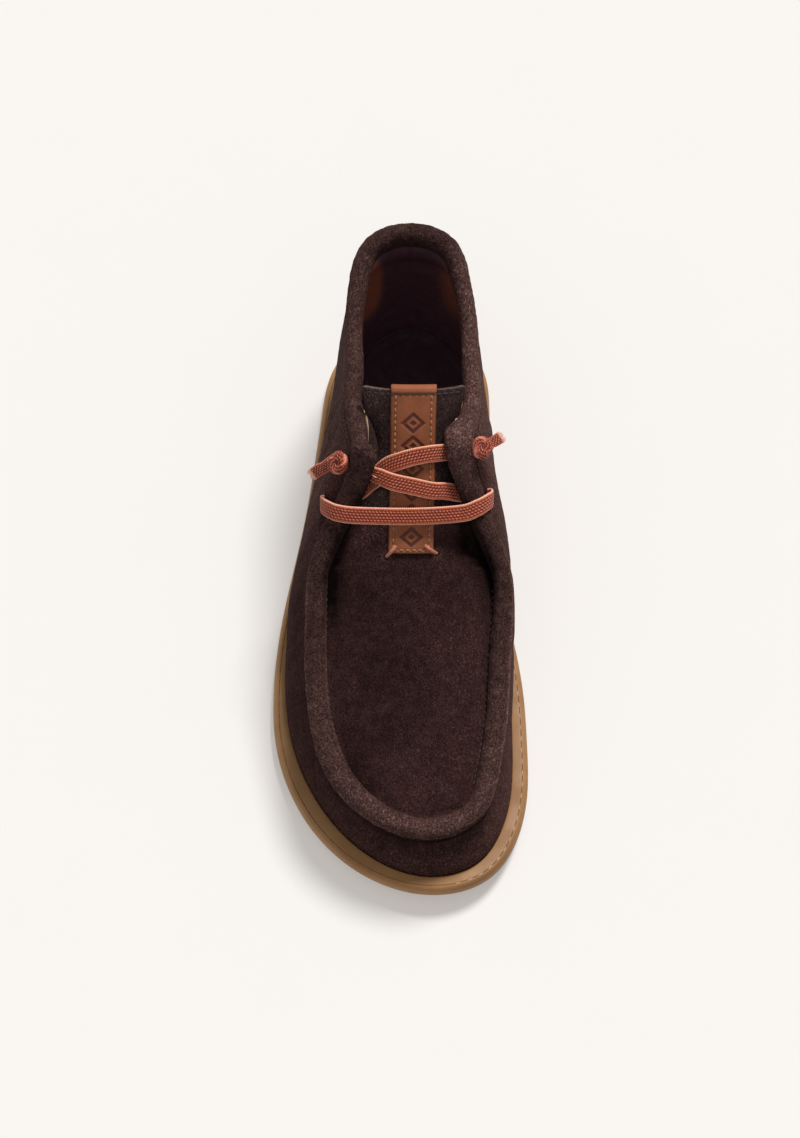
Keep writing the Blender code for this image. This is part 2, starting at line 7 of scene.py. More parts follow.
import bmesh
import bpy
import numpy as np
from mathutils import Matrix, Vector


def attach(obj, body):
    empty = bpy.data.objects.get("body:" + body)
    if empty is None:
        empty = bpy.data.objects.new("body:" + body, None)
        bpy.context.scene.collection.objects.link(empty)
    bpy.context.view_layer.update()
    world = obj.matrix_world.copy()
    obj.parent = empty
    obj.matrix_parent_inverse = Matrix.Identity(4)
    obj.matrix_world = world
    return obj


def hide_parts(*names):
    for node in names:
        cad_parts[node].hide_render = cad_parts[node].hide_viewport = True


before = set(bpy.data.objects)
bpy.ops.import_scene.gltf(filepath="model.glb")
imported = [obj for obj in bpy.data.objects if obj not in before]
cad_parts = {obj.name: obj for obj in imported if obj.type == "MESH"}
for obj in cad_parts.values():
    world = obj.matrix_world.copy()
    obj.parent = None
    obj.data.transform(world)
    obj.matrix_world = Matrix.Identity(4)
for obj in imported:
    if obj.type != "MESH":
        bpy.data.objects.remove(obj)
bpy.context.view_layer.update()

MM = 0.001
GAP = 0.3  # between two pieces that touch
UP = np.array([0.0, 0.0, 1.0])

# ---------------------------------------------------------------- the boot's own sizes
SOLE_END = 130.8  # half the length of the sole
FLOOR_Z = 4.5  # inside floor of the sole
RIM_Z = 8.0  # top of the sole's rim
TOE_SPRING = 5.0  # how far the sole's toe rises, and the y where the rise starts
TOE_SPRING_FROM = -70.0
HEEL_LIFT = 1.2
HEEL_LIFT_FROM = 105.0
ARCH_LIFT = 1.6
WALL = 2.4  # thickness of suede and lining together
SUEDE = 1.3  # thickness of the suede alone
ROLL_END = 215.0  # where a rolled edge ends on its inner side, degrees round its ellipse
HEEL_SHARE = 0.38  # how far up the wall its lower fullness acts
INSOLE_THICK = 2.6
TONGUE_THICK = 2.4
STRIP_WIDTH = 18.0
LACE_WIDTH = 7.0
LACE_THICK = 1.3
EYELET_BORE = 5.0
KNIT_ROWS = 6  # of stitches across the lace, the outer two being its corded edges
KNIT_PITCH = 1.4
KNIT_RIB = 0.8

# One row for each rib of the upper, from the back of the heel along the outer side (-X) to the toe
# and back along the inner side. edge: outline of the sole's rim. ledge: width of the rim's top.
# low, high: fullness of the wall near the sole and below the top. top: crest of the rolled edge.
# half, deep: half its width and depth. tuck: how far its outer side curls under. lean: its tilt.
COLUMNS = "edge_x edge_y ledge low high shoulder top_x top_y top_z half deep tuck lean".split()
RIBS = (
    ("heel_back", 4.0, 130.8, 4.6, 6.5, 2.0, 0.38, 4.0, 121.4, 99.8, 4.5, 5.4, 20, 0),
    ("heel_corner_outer", -14.5, 123.0, 4.6, 5.5, 2.0, 0.38, -11.0, 115.8, 99.0, 4.4, 5.4, 20, 0),
    ("heel_side_outer", -27.9, 106.5, 4.6, 3.0, 2.0, 0.38, -16.4, 103.2, 95.6, 4.0, 5.2, 20, 0),
    ("ankle_back_outer", -33.1, 84.0, 4.6, 1.2, 1.2, 0.38, -18.6, 83.5, 91.8, 3.6, 5.0, 20, 0),
    ("ankle_outer", -36.0, 61.0, 4.6, 3.7, 3.2, 0.38, -18.4, 62.5, 90.8, 3.7, 5.0, 20, 0),
    ("quarter_outer", -39.2, 38.5, 4.6, 5.7, 7.0, 0.30, -17.8, 43.0, 92.0, 3.9, 4.8, 22, 0),
    ("tip_outer", -42.4, 21.0, 4.6, 6.3, 11.0, 0.20, -14.4, 25.5, 94.5, 5.0, 4.2, 28, 4),
    ("facing_top_outer", -44.8, 9.5, 4.6, 5.4, 12.0, 0.17, -20.0, 14.0, 81.0, 4.8, 3.8, 35, 8),
    ("facing_low_outer", -47.1, -2.0, 4.6, 4.4, 11.0, 0.18, -26.8, 3.5, 71.0, 4.4, 3.6, 40, 12),
    ("throat_outer", -49.2, -14.5, 4.6, 4.2, 8.0, 0.27, -33.0, -9.5, 62.0, 4.3, 3.4, 45, 15),
    ("vamp_outer", -51.1, -30.5, 4.8, 3.0, 4.0, 0.34, -34.6, -24.5, 55.0, 4.5, 3.3, 48, 18),
    ("ball_outer", -51.8, -50.5, 5.8, 2.0, 3.0, 0.38, -34.8, -45.6, 47.5, 4.5, 3.3, 50, 20),
    ("toe_side_outer", -48.5, -74.8, 7.0, 1.5, 2.5, 0.38, -31.3, -74.0, 41.5, 4.4, 3.3, 50, 22),
    ("little_toe", -38.4, -97.9, 7.7, 1.0, 2.0, 0.38, -22.6, -93.6, 38.0, 4.4, 3.3, 50, 22),
    ("toe_outer", -19.2, -119.1, 7.2, 1.0, 2.0, 0.38, -7.5, -107.5, 36.0, 4.2, 3.3, 50, 22),
    ("toe_tip", 11.0, -130.8, 6.3, 1.0, 2.0, 0.38, 13.2, -112.8, 35.5, 4.2, 3.3, 50, 22),
    ("big_toe_front", 36.8, -122.9, 7.2, 1.0, 2.0, 0.38, 30.0, -105.2, 36.0, 4.3, 3.3, 50, 22),
    ("big_toe_side", 49.8, -98.0, 7.0, 1.0, 2.0, 0.38, 36.2, -88.9, 38.2, 4.5, 3.3, 50, 20),
    ("ball_inner", 51.8, -68.0, 6.6, 1.3, 1.6, 0.38, 39.6, -66.0, 43.0, 4.6, 3.3, 50, 18),
    ("vamp_inner", 49.9, -38.0, 5.9, 4.6, 3.2, 0.34, 41.4, -37.0, 50.5, 4.5, 3.3, 48, 16),
    ("throat_inner", 44.6, -9.0, 4.6, 8.2, 5.6, 0.27, 40.9, -10.0, 61.5, 4.0, 3.4, 45, 14),
    ("facing_low_inner", 41.2, 8.0, 4.4, 12.0, 10.6, 0.18, 34.0, 4.5, 71.5, 4.2, 3.6, 40, 12),
    ("facing_top_inner", 38.8, 22.0, 4.4, 13.6, 14.0, 0.17, 28.4, 15.5, 81.5, 4.8, 3.8, 35, 8),
    ("tip_inner", 37.3, 38.0, 4.4, 12.6, 14.0, 0.20, 23.8, 27.0, 94.5, 5.2, 4.2, 28, 4),
    ("quarter_inner", 37.1, 55.0, 4.4, 8.8, 8.4, 0.30, 28.2, 45.0, 92.0, 3.8, 4.8, 22, 0),
    ("ankle_inner", 37.8, 73.0, 4.4, 5.6, 3.4, 0.38, 28.4, 63.0, 90.8, 3.7, 5.0, 20, 0),
    ("ankle_back_inner", 37.9, 90.0, 4.4, 3.4, 1.4, 0.38, 27.8, 83.5, 91.8, 3.6, 5.0, 20, 0),
    ("heel_side_inner", 34.1, 108.5, 4.4, 3.6, 1.7, 0.38, 24.5, 103.2, 95.6, 3.9, 5.2, 20, 0),
    ("heel_corner_inner", 21.5, 123.5, 4.6, 5.5, 2.0, 0.38, 19.0, 115.8, 99.0, 4.4, 5.4, 20, 0),
)
SPINE = ((-85.0, 5.0), (0.0, -1.5), (95.0, 3.0))  # middle line of the sole: y, x

THROAT_CROWN = 6.0  # height of the arch from side to side of the throat
APRON_CROWN = 2.0  # how far the apron swells in its middle
THROAT_RISE = np.array([0.0, -0.45, 0.89])  # the way that arch rises
ARCH_POWER = 2.6  # the higher, the squarer an arch's shoulders
FADE = 0.25  # share of a crease's length over which each of its ends fades out

# Tongue, from the throat to its free top edge: y, z, left, right and crown of each section.
TONGUE = (
    ("start", -6.0, 66.4, -24.8, 32.2, 9.0),
    ("low", 3.0, 71.9, -22.5, 30.5, 9.0),
    ("lace", 14.0, 80.0, -18.0, 26.5, 10.0),
    ("tips", 27.0, 90.0, -11.8, 21.0, 10.0),
    ("high", 37.5, 98.2, -12.4, 22.6, 7.5),
    ("top", 45.7, 104.4, -13.3, 24.4, 6.0),
)
TONGUE_SLOPE = np.radians(38.0)
SLOPE_UP = np.array([0.0, np.cos(TONGUE_SLOPE), np.sin(TONGUE_SLOPE)])
SLOPE_FACE = np.array([0.0, -np.sin(TONGUE_SLOPE), np.cos(TONGUE_SLOPE)])
STRIP_FROM = 0.84  # row of the tongue's table where the strip starts
STRIP_MIDDLE = ((0.0, 4.1), (6.0, 5.5))  # row of the tongue's table, x

# Eyelets: rib before it, share of the way to the next rib, height as a share of the wall.
EYELETS = {
    "lower_outer": ("facing_top_outer", 0.08, 0.78),
    "upper_outer": ("tip_outer", 0.17, 0.90),
    "lower_inner": ("facing_low_inner", 0.83, 0.89),
    "upper_inner": ("tip_inner", 0.17, 0.955),
}
# The lace's outer bar, then its two straps on the tongue: row of the tongue's table, x and height.
BAR_ROUTE = (
    (-31.3, 12.8, 68.6), (-30.3, 10.3, 71.6), (-28.2, 7.8, 74.2), (-24.8, 5.6, 75.8), (-17.0, 4.2, 76.5),
    (5.0, 3.5, 77.1), (24.0, 4.8, 77.0), (30.9, 7.3, 77.0), (34.6, 10.2, 75.7), (36.6, 13.0, 72.9),
)
UNDER_ROUTE = (
    (3.88, 17.0, 3.2), (3.90, 12.0, 3.6), (3.83, 5.0, 3.4), (3.73, 0.0, 3.1),
    (3.60, -4.5, 2.7), (3.37, -8.6, 2.1), (3.1, -11.0, 1.6),
)
OVER_ROUTE = (
    (2.93, 19.0, 2.6), (3.0, 13.0, 3.4), (3.13, 5.0, 3.8),
    (3.24, -3.0, 4.2), (3.34, -8.0, 4.4), (3.37, -10.5, 4.2),
)




# ---------------------------------------------------------------- curves and surfaces of the last
def rib_index(name):
    return [row[0] for row in RIBS].index(name)


def ease(value, start, end):
    """0 up to the start, 1 from the end on, and a smooth climb between."""
    share = np.clip((value - start) / (end - start), 0, 1)
    return share * share * (3 - 2 * share)


def bell(away, width):
    """1 where `away` is 0, and next to nothing beyond two widths from there."""
    return np.exp(-((away / width) ** 2))


def unit(vectors):
    return vectors / np.maximum(np.linalg.norm(vectors, axis=-1, keepdims=True), 1e-12)


def column_of(values):
    """A list of numbers as a column, so that each gives its own row of a grid."""
    return np.asarray(values, float).reshape(-1, 1)


def points_of(level, height):
    """Level places and their heights as points."""
    return np.concatenate([level, height[..., None]], axis=-1)


def lengths(path):
    """How far along a path each of its points lies."""
    return np.concatenate([[0.0], np.cumsum(np.linalg.norm(np.diff(path, axis=0), axis=1))])


def closed_spline(knots, values, at):
    """Points at the lengths `at` on a smooth closed curve through `values`."""
    gaps = np.diff(knots)
    here = np.arange(len(gaps))
    before, after = np.roll(here, 1), np.roll(here, -1)
    rise = (values[after] - values) / gaps[:, None]
    matrix = np.zeros((len(gaps), len(gaps)))
    matrix[here, here] = 2 * (gaps[before] + gaps)
    matrix[here, before] = gaps[before]
    matrix[here, after] = gaps
    bend = np.linalg.solve(matrix, 6 * (rise - rise[before]))
    k = np.clip(np.searchsorted(knots, at, side="right") - 1, 0, len(gaps) - 1)
    to_next, gone, gap = (part[:, None] for part in (knots[k + 1] - at, at - knots[k], gaps[k]))
    curve = (bend[k] * to_next**3 + bend[after[k]] * gone**3) / (6 * gap)
    curve = curve + (values[k] / gap - bend[k] * gap / 6) * to_next
    return curve + (values[after[k]] / gap - bend[after[k]] * gap / 6) * gone


def outward(outline):
    """Level unit vectors that point out of a closed outline which runs anticlockwise."""
    along = np.roll(outline, -1, axis=0) - np.roll(outline, 1, axis=0)
    return unit(np.column_stack([along[:, 1], -along[:, 0]]))


class Ring:
    """The rib table read at `per_rib` places from each rib to the next."""

    def __init__(self, per_rib):
        rows = np.array([row[1:] for row in RIBS], float)
        outlines = rows[:, :2], rows[:, 6:9]
        steps = sum(np.linalg.norm(np.roll(line, -1, axis=0) - line, axis=1) / 2 for line in outlines)
        knots = np.concatenate([[0.0], np.cumsum(steps)])
        at = (knots[:-1, None] + steps[:, None] * np.arange(per_rib) / per_rib).ravel()
        for name, column in zip(COLUMNS, closed_spline(knots, rows, at).T):
            setattr(self, name, column)
        self.per_rib, self.count = per_rib, len(at)
        self.rib = np.arange(self.count) / per_rib  # place of each column, counted in ribs
        self.edge = np.column_stack([self.edge_x, self.edge_y])
        self.top = np.column_stack([self.top_x, self.top_y, self.top_z])
        self.edge_out, self.top_out = outward(self.edge), outward(self.top[:, :2])

    def column(self, rib_name, share=0.0):
        return rib_index(rib_name) * self.per_rib + round(share * self.per_rib)

    def bump(self, rib_name, share, reach):
        """1 at a place along the ring and 0 further than `reach` ribs from it."""
        away = self.rib - rib_index(rib_name) - share
        away = np.abs((away + len(RIBS) / 2) % len(RIBS) - len(RIBS) / 2) / reach
        return np.where(away < 1, (1 - away**2) ** 2, 0)


def spring(y):
    """Height of the sole's curve above the floor."""
    toe = np.clip((TOE_SPRING_FROM - y) / (SOLE_END + TOE_SPRING_FROM), 0, None)
    heel = np.clip((y - HEEL_LIFT_FROM) / (SOLE_END - HEEL_LIFT_FROM), 0, None)
    return TOE_SPRING * toe**2 + HEEL_LIFT * heel**2


def arch(x, y):
    """Height of the hollow under the inner waist."""
    return ARCH_LIFT * bell(y - 18, 34) * ease(x, 2, 30)


def from_edge(ring, out, up):
    """Points `out` from the sole's outline, at height `up`."""
    level = ring.edge + ring.edge_out * np.asarray(out)[..., None]
    return points_of(level, up + spring(level[..., 1]))


def from_crest(ring, out, up):
    """Points placed from the crest of the rolled edge, in its leaning frame."""
    lean = np.radians(ring.lean)
    level = out * np.cos(lean) + up * np.sin(lean)
    height = up * np.cos(lean) - out * np.sin(lean)
    return ring.top + points_of(ring.top_out * level[..., None], height)


def roll_at(ring, angle, grow=0.0):
    """Points on the rolled edge, at an angle in degrees round its ellipse."""
    angle = np.radians(angle)
    up = (ring.deep + grow) * np.sin(angle) - ring.deep
    return from_crest(ring, (ring.half + grow) * np.cos(angle), up)


def wall_row(ring, share):
    """Rows on the outside of the wall. share: 0 just above the rim, 1 at the rolled edge's tuck."""
    share = np.asarray(share, float)[..., None, None]
    foot = from_edge(ring, -ring.ledge - GAP, RIM_Z + GAP)
    head = roll_at(ring, -ring.tuck)
    up = np.array([0, 0, 1]) * (head[:, 2] - foot[:, 2])[:, None]
    out = points_of(ring.edge_out, np.zeros(ring.count))
    lower = foot + up * HEEL_SHARE + out * ring.low[:, None]
    upper = head - up * ring.shoulder[:, None] + out * ring.high[:, None]
    rest = 1 - share
    return rest**3 * foot + 3 * rest**2 * share * lower + 3 * rest * share**2 * upper + share**3 * head


def wall_facing(ring, share):
    """Unit vectors out of the wall along its rows."""
    share, step = np.asarray(share, float), 0.01
    row = wall_row(ring, share)
    along = np.roll(row, -1, axis=-2) - np.roll(row, 1, axis=-2)
    return unit(np.cross(along, wall_row(ring, share + step) - wall_row(ring, share - step)))


def under_wall(share, depth):
    """Rows `depth` inside the outside of the wall."""
    return wall_row(ring, share) - wall_facing(ring, share) * depth


def arched(share):
    """Height across an arch, 0 at its ends and 1 in its middle."""
    return 1 - np.abs(2 * share - 1) ** ARCH_POWER


def smooth(route, count):
    """`count` points on a smooth open curve through a route."""
    route = np.asarray(route, float)
    ends = np.vstack([2 * route[0] - route[1], route, 2 * route[-1] - route[-2]])
    at = np.linspace(0, len(route) - 1, count)
    k = np.minimum(at.astype(int), len(route) - 2)
    t = (at - k)[:, None]
    a, b, c, d = (ends[k + step] for step in range(4))
    return 0.5 * (2 * b + (c - a) * t + (2 * a - 5 * b + 4 * c - d) * t**2 + (3 * b - 3 * c + d - a) * t**3)


def evenly(route, step):
    """Points about `step` apart along a smooth curve through a route."""
    fine = smooth(route, 40 * len(route))
    along = lengths(fine[:, :3])
    at = np.linspace(0, along[-1], max(2, int(round(along[-1] / step)) + 1))
    return np.stack([np.interp(at, along, column) for column in fine.T], axis=1)


class Tongue:
    """The outside of the tongue. row: 0 at the throat, then a row of its table each."""

    def __init__(self):
        first, last = (roll_at(fine_ring, ROLL_END)[fine_ring.column(rib)] for rib in ("throat_outer", "throat_inner"))
        middle = (first + last) / 2 + THROAT_RISE * THROAT_CROWN
        start = (middle[1], middle[2], first[0], last[0], THROAT_CROWN)
        table = np.array([start, *(row[1:] for row in TONGUE)])
        self.last = len(table) - 1
        self.fine = smooth(table, 40 * self.last + 1)
        self.places = np.linspace(0, self.last, len(self.fine))

    def read(self, row):
        return [np.interp(row, self.places, column) for column in self.fine.T]

    def at(self, row, x, lift=0.0):
        """Points at the given rows of the table and the given x, `lift` above the surface."""
        row, x, lift = np.broadcast_arrays(np.asarray(row, float), np.asarray(x, float), lift)
        y, z, left, right, crown = self.read(row)
        drop = crown * (1 - arched((x - left) / (right - left)))
        flat = np.stack([x, y + drop * np.sin(TONGUE_SLOPE), z - drop * np.cos(TONGUE_SLOPE)], axis=-1)
        return flat + SLOPE_FACE * lift[..., None]


ring, fine_ring, eyelet_ring = Ring(26), Ring(36), Ring(12)
tongue = Tongue()


def eyelet(name):
    """Centre of a lace hole on the outside of the wall, and the way out of it."""
    rib, share, height = EYELETS[name]
    column = eyelet_ring.column(rib, share)
    return wall_row(eyelet_ring, height)[column], wall_facing(eyelet_ring, height)[column]


# ---------------------------------------------------------------- shaping
def noise(points, size, seed):
    """Smooth random numbers from -1 to 1, with bumps about `size` apart."""
    place = np.asarray(points, float) / size + 1000
    cell = np.floor(place).astype(np.int64)
    part = place - cell
    part = part * part * (3 - 2 * part)
    total = 0.0
    for corner in np.ndindex(2, 2, 2):
        x, y, z = np.moveaxis(cell + corner, -1, 0)
        mixed = (x * 73856093) ^ (y * 19349663) ^ (z * 83492791) ^ (seed * 2654435761)
        mixed = ((mixed ^ (mixed >> 13)) * 1274126177) & 0x7FFFFFFF
        value = ((mixed ^ (mixed >> 15)) & 0xFFFFF) / 0xFFFFF * 2 - 1
        total = total + value * np.prod(np.where(corner, part, 1 - part), axis=-1)
    return total


def nap(points, height):
    """Uneven pile: bumps of two sizes, up to about `height`."""
    return height * (0.65 * noise(points, 1.7, 61) + 0.35 * noise(points, 0.9, 62))


def from_route(points, route):
    """How far points are from a route, and how far along it their nearest places are, from 0 to 1."""
    best = np.full(points.shape[:-1], np.inf)
    along = np.zeros(points.shape[:-1])
    for k, (one, two) in enumerate(zip(route, route[1:])):
        step = two - one
        t = np.clip(((points - one) @ step) / (step @ step), 0, 1)
        away = np.linalg.norm(points - one - t[..., None] * step, axis=-1)
        nearer = away < best
        best = np.where(nearer, away, best)
        along = np.where(nearer, (k + t) / (len(route) - 1), along)
    return best, along


def furrow(points, route, width):
    """1 on a route and 0 away from it, fading out towards the route's ends."""
    away, along = from_route(points, smooth(route, 8 * len(route)))
    return bell(away, width) * ease(along, 0, FADE) * ease(1 - along, 0, FADE)


def facing(grid):
    """Unit vectors out of an open grid of points, whose rows climb and whose columns run anticlockwise."""
    return unit(np.cross(np.gradient(grid, axis=1), np.gradient(grid, axis=0)))


def infill(outline, shares):
    """Level rows inside a closed outline, at shares of the way out to it from the sole's middle line."""
    y = np.clip((outline[:, 1] + outline[::-1, 1]) / 2, SPINE[0][0], SPINE[-1][0])
    middle = np.column_stack([np.interp(y, *zip(*SPINE)), y])
    return middle + (outline[:, :2] - middle) * shares[..., None]


# ---------------------------------------------------------------- meshes
class Skin:
    """Gathers grids of points and the faces between them, then makes one mesh."""

    def __init__(self):
        self.points, self.faces, self.slots, self.tone, self.uv = [], [], [], [], []
        self.count = 0

    def grid(self, points, closed=False, slot=0, tone=0.0, uv=0.0):
        """Adds a grid and its faces, and returns its index grid."""
        shape = points.shape[:2]
        index = self.count + np.arange(shape[0] * shape[1]).reshape(shape)
        self.count += index.size
        self.points.append(points.reshape(-1, 3))
        self.tone.append(np.broadcast_to(tone, shape).ravel())
        self.uv.append(np.broadcast_to(uv, (*shape, 2)).reshape(-1, 2))
        self.join(index, closed, slot)
        return index

    def join(self, index, closed=False, slot=0):
        """Adds the faces of a grid of indices. slot: of all of them, or a list with one for each."""
        right = np.roll(index, -1, axis=1)
        if not closed:
            index, right = index[:, :-1], right[:, :-1]
        faces = np.stack([index[:-1], right[:-1], right[1:], index[1:]], axis=-1).reshape(-1, 4)
        self.faces.append(faces)
        self.slots.append(np.broadcast_to(slot, len(faces)))

    def bridge(self, one, two, slot=0):
        """Closes the gap between two closed rows."""
        self.join(np.stack([one, two]), closed=True, slot=slot)

    def zip_up(self, row):
        """Closes the slit inside a closed row that lies along the middle line."""
        half = len(row) // 2
        self.join(np.stack([row[:half], row[::-1][:half]]))

    def make(self, name, *materials, weld=False):
        """Makes the mesh, its faces turned outwards, and its tips joined up where `weld` asks for it."""
        mesh = bpy.data.meshes.new(name)
        mesh.from_pydata((np.concatenate(self.points) * MM).tolist(), [], np.concatenate(self.faces).tolist())
        for material in materials:
            mesh.materials.append(material)
        mesh.polygons.foreach_set("material_index", np.concatenate(self.slots).astype(np.int32))
        tone = mesh.attributes.new("tone", "FLOAT", "POINT")
        tone.data.foreach_set("value", np.concatenate(self.tone).astype(np.float32))
        corners = np.zeros(len(mesh.loops), np.int32)
        mesh.loops.foreach_get("vertex_index", corners)
        sizes = mesh.uv_layers.new(name="sizes")
        sizes.data.foreach_set("uv", np.concatenate(self.uv)[corners].astype(np.float32).ravel())
        mesh.shade_smooth()
        mesh.validate()
        shape = bmesh.new()
        shape.from_mesh(mesh)
        if weld:
            bmesh.ops.remove_doubles(shape, verts=shape.verts, dist=0.01 * MM)
        bmesh.ops.recalc_face_normals(shape, faces=shape.faces)
        shape.to_mesh(mesh)
        shape.free()
        return in_scene(bpy.data.objects.new(name, mesh))


def in_scene(thing):
    bpy.context.scene.collection.objects.link(thing)
    return thing


def finish(thing, slot, *stands_for):
    """The piece moves with the boot's one body and may stand for CAD nodes; slot is not used."""
    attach(thing, "root")
    if stands_for:
        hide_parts(*stands_for)


def slab(name, high, low, materials, slots=(0, 0, 0), tone=0.0, uv=0.0):
    """A closed sheet between two grids of the same shape. slots: materials of top, bottom and edge."""
    skin = Skin()
    borders = []
    for grid, slot in zip((high, low), slots):
        index = skin.grid(grid, slot=slot, tone=tone, uv=uv)
        borders.append(np.concatenate([index[0, :-1], index[:-1, -1], index[-1, :0:-1], index[:0:-1, 0]]))
    skin.bridge(*borders, slot=slots[2])
    return skin.make(name, *materials)


def tube(skin, path, one, two, width, height, section=None, tone=0.0, uv=0.0, sides=12):
    """Adds a tube along a path, closed at both ends. one, two: its cross directions."""
    turn = np.arange(sides) * 2 * np.pi / sides
    section = section or (np.cos(turn), np.sin(turn))
    at = np.clip(np.arange(-1, len(path) + 1), 0, len(path) - 1)
    rings = path[at, None]
    for way, size, shape in zip((one, two), (width, height), section):
        size = np.broadcast_to(size, len(path))[at] / 2
        size[[0, -1]] = 0
        rings = rings + np.broadcast_to(way, path.shape)[at, None] * (size[:, None] * shape)[..., None]
    if np.ndim(tone):
        tone, uv = tone[at], uv[at]
    return skin.grid(rings, closed=True, tone=tone, uv=uv)


# ---------------------------------------------------------------- materials
class Finish:
    """Builds a material's nodes. Every pattern is placed in metres, or by the `sizes` map in mm."""

    def __init__(self, name, **sockets):
        self.material = bpy.data.materials.new(name)
        self.material.use_nodes = True
        self.tree = self.material.node_tree
        self.shader = self.tree.nodes["Principled BSDF"]
        self.set(**sockets)
        self.object = self.node("TexCoord", out="Object")

    def set(self, **sockets):
        """Sets or links the shader's own sockets."""
        for name, value in sockets.items():
            self.put(self.shader.inputs[name.replace("_", " ")], value)

    def node(self, kind, inputs=(), out=0, **settings):
        """Adds a node and returns one of its outputs. inputs: a list of values, or a value for each socket."""
        made = self.tree.nodes.new("ShaderNode" + kind)
        for name, value in settings.items():
            setattr(made, name, value)
        for socket, value in inputs.items() if isinstance(inputs, dict) else enumerate(inputs):
            self.put(made.inputs[socket], value)
        return made.outputs[out]

    def put(self, socket, value):
        """Links an output to a socket, or sets the socket to a number or colour."""
        if isinstance(value, bpy.types.NodeSocket):
            self.tree.links.new(value, socket)
        else:
            socket.default_value = (*value, 1) if socket.type == "RGBA" else value

    def math(self, operation, *values):
        return self.node("Math", values, operation=operation)

    def stretched(self, scale):
        """The piece's coordinates with each axis scaled by its own number."""
        return self.node("Mapping", {"Vector": self.object, "Scale": scale})

    def noise(self, size, detail=2.0, roughness=0.5, vector=None, distortion=0.0):
        """Noise with features about `size` mm across, from 0 to 1."""
        inputs = {"Vector": vector or self.object, "Scale": 1 / (size * MM), "Detail": detail}
        return self.node("TexNoise", {**inputs, "Roughness": roughness, "Distortion": distortion}, "Fac")

    def cells(self, size, feature="F1"):
        return self.node("TexVoronoi", {"Vector": self.object, "Scale": 1 / (size * MM)}, "Distance", feature=feature)

    def between(self, value, low, high, to_low=0.0, to_high=1.0):
        """Reads a value from low to high as to_low to to_high, eased and held at both ends."""
        return self.node("MapRange", (value, low, high, to_low, to_high), interpolation_type="SMOOTHSTEP")

    def mix(self, share, one, two):
        return self.node("Mix", {0: share, 6: one, 7: two}, 2, data_type="RGBA")

    def tone(self):
        return self.node("Attribute", out="Fac", attribute_name="tone")

    def sizes(self):
        """The two numbers of the `sizes` map."""
        split = self.tree.nodes.new("ShaderNodeSeparateXYZ")
        self.put(split.inputs[0], self.node("UVMap", uv_map="sizes"))
        return split.outputs["X"], split.outputs["Y"]

    def bump(self, height, distance, strength=1.0):
        """A bump of `distance` mm where the height is 1."""
        return self.node("Bump", {"Height": height, "Distance": distance * MM, "Strength": strength})


def suede(name, dark, light, fibre, grain=0.7, hairy=0.5, depth=0.25):
    """Brushed suede: speckled nap and cloudy patches where it lies differently. Its tone attribute, paler with more
    pale fibres above 0 and darker below, carries painted light and shade, besides pale lines along some edges, a few
    darker seams and random patches.

    grain: size of its speckle in mm. hairy: share of pale fibres. depth: of its bump, in mm.
    """
    f = Finish(name, Roughness=0.95, Sheen_Weight=0.06, Sheen_Roughness=0.4, Specular_IOR_Level=0.05)
    speckle = f.noise(grain, 3, 0.75)
    hairs = f.noise(1.2 * grain, 3, 0.7, f.stretched((1.0, 0.6, 0.8)), 0.8)
    streak = f.noise(3.4, 2, 0.5, f.stretched((1.0, 1.0, 0.13)))
    # tone: painted light and shade, more pale fibres and a brighter value where it is higher
    tone = f.tone()
    ground = f.mix(f.between(speckle, 0.34, 0.68), dark, light)
    lit = f.math("MULTIPLY", f.between(hairs, 0.50, 0.70), f.between(tone, -0.5, 1.1, 0.2 * hairy, hairy))
    cloud = f.between(f.noise(10.0, 3, 0.55), 0.3, 0.7, -0.15, 0.15)
    patch = f.math("ADD", cloud, f.between(streak, 0.3, 0.7, -0.2, 0.2))
    level = f.math("ADD", 1.0, f.math("ADD", patch, f.math("MULTIPLY", tone, 0.7)))
    colour = {"Color": f.mix(lit, ground, fibre), "Value": f.math("MAXIMUM", 0.1, level)}
    height = f.math("ADD", speckle, f.math("MULTIPLY", hairs, 0.9))
    f.set(Base_Color=f.node("HueSaturation", colour), Normal=f.bump(height, depth, 0.9), Sheen_Tint=(0.75, 0.36, 0.29))
    return f.material


def leather(name, colour, deep, roughness, grain=0.6, lit=None):
    """Smooth dyed leather with a fine grain, darker where it is pressed and along its cut edges. Its tone attribute
    also paints shade toward the deep colour above 0 and light toward the lit colour below 0.
    """
    f = Finish(name, Specular_IOR_Level=0.4)
    pores = f.cells(grain, "DISTANCE_TO_EDGE")
    cloud = f.noise(6.0, 4, 0.6)
    tone = f.tone()
    ground = f.mix(f.between(cloud, 0.3, 0.72), colour, tuple(0.78 * c for c in colour))
    ground = f.mix(f.between(pores, 0.0, 0.10, 0.30, 0.0), ground, deep)
    # tone above 0: darker toward deep, for pressed places, cut edges and painted shade; below 0: painted light toward
    # lit
    ground = f.mix(f.between(tone, 0.0, 1.0), ground, deep)
    ground = f.mix(f.between(tone, 0.0, -1.0), ground, lit or tuple(1.55 * c for c in colour))
    height = f.math("ADD", f.between(pores, 0.0, 0.14), f.math("MULTIPLY", f.noise(0.35, 2, 0.6), 0.5))
    shine = f.between(cloud, 0.3, 0.7, roughness - 0.08, roughness + 0.1)
    f.set(Base_Color=ground, Normal=f.bump(height, 0.05, 0.7), Roughness=shine)
    return f.material


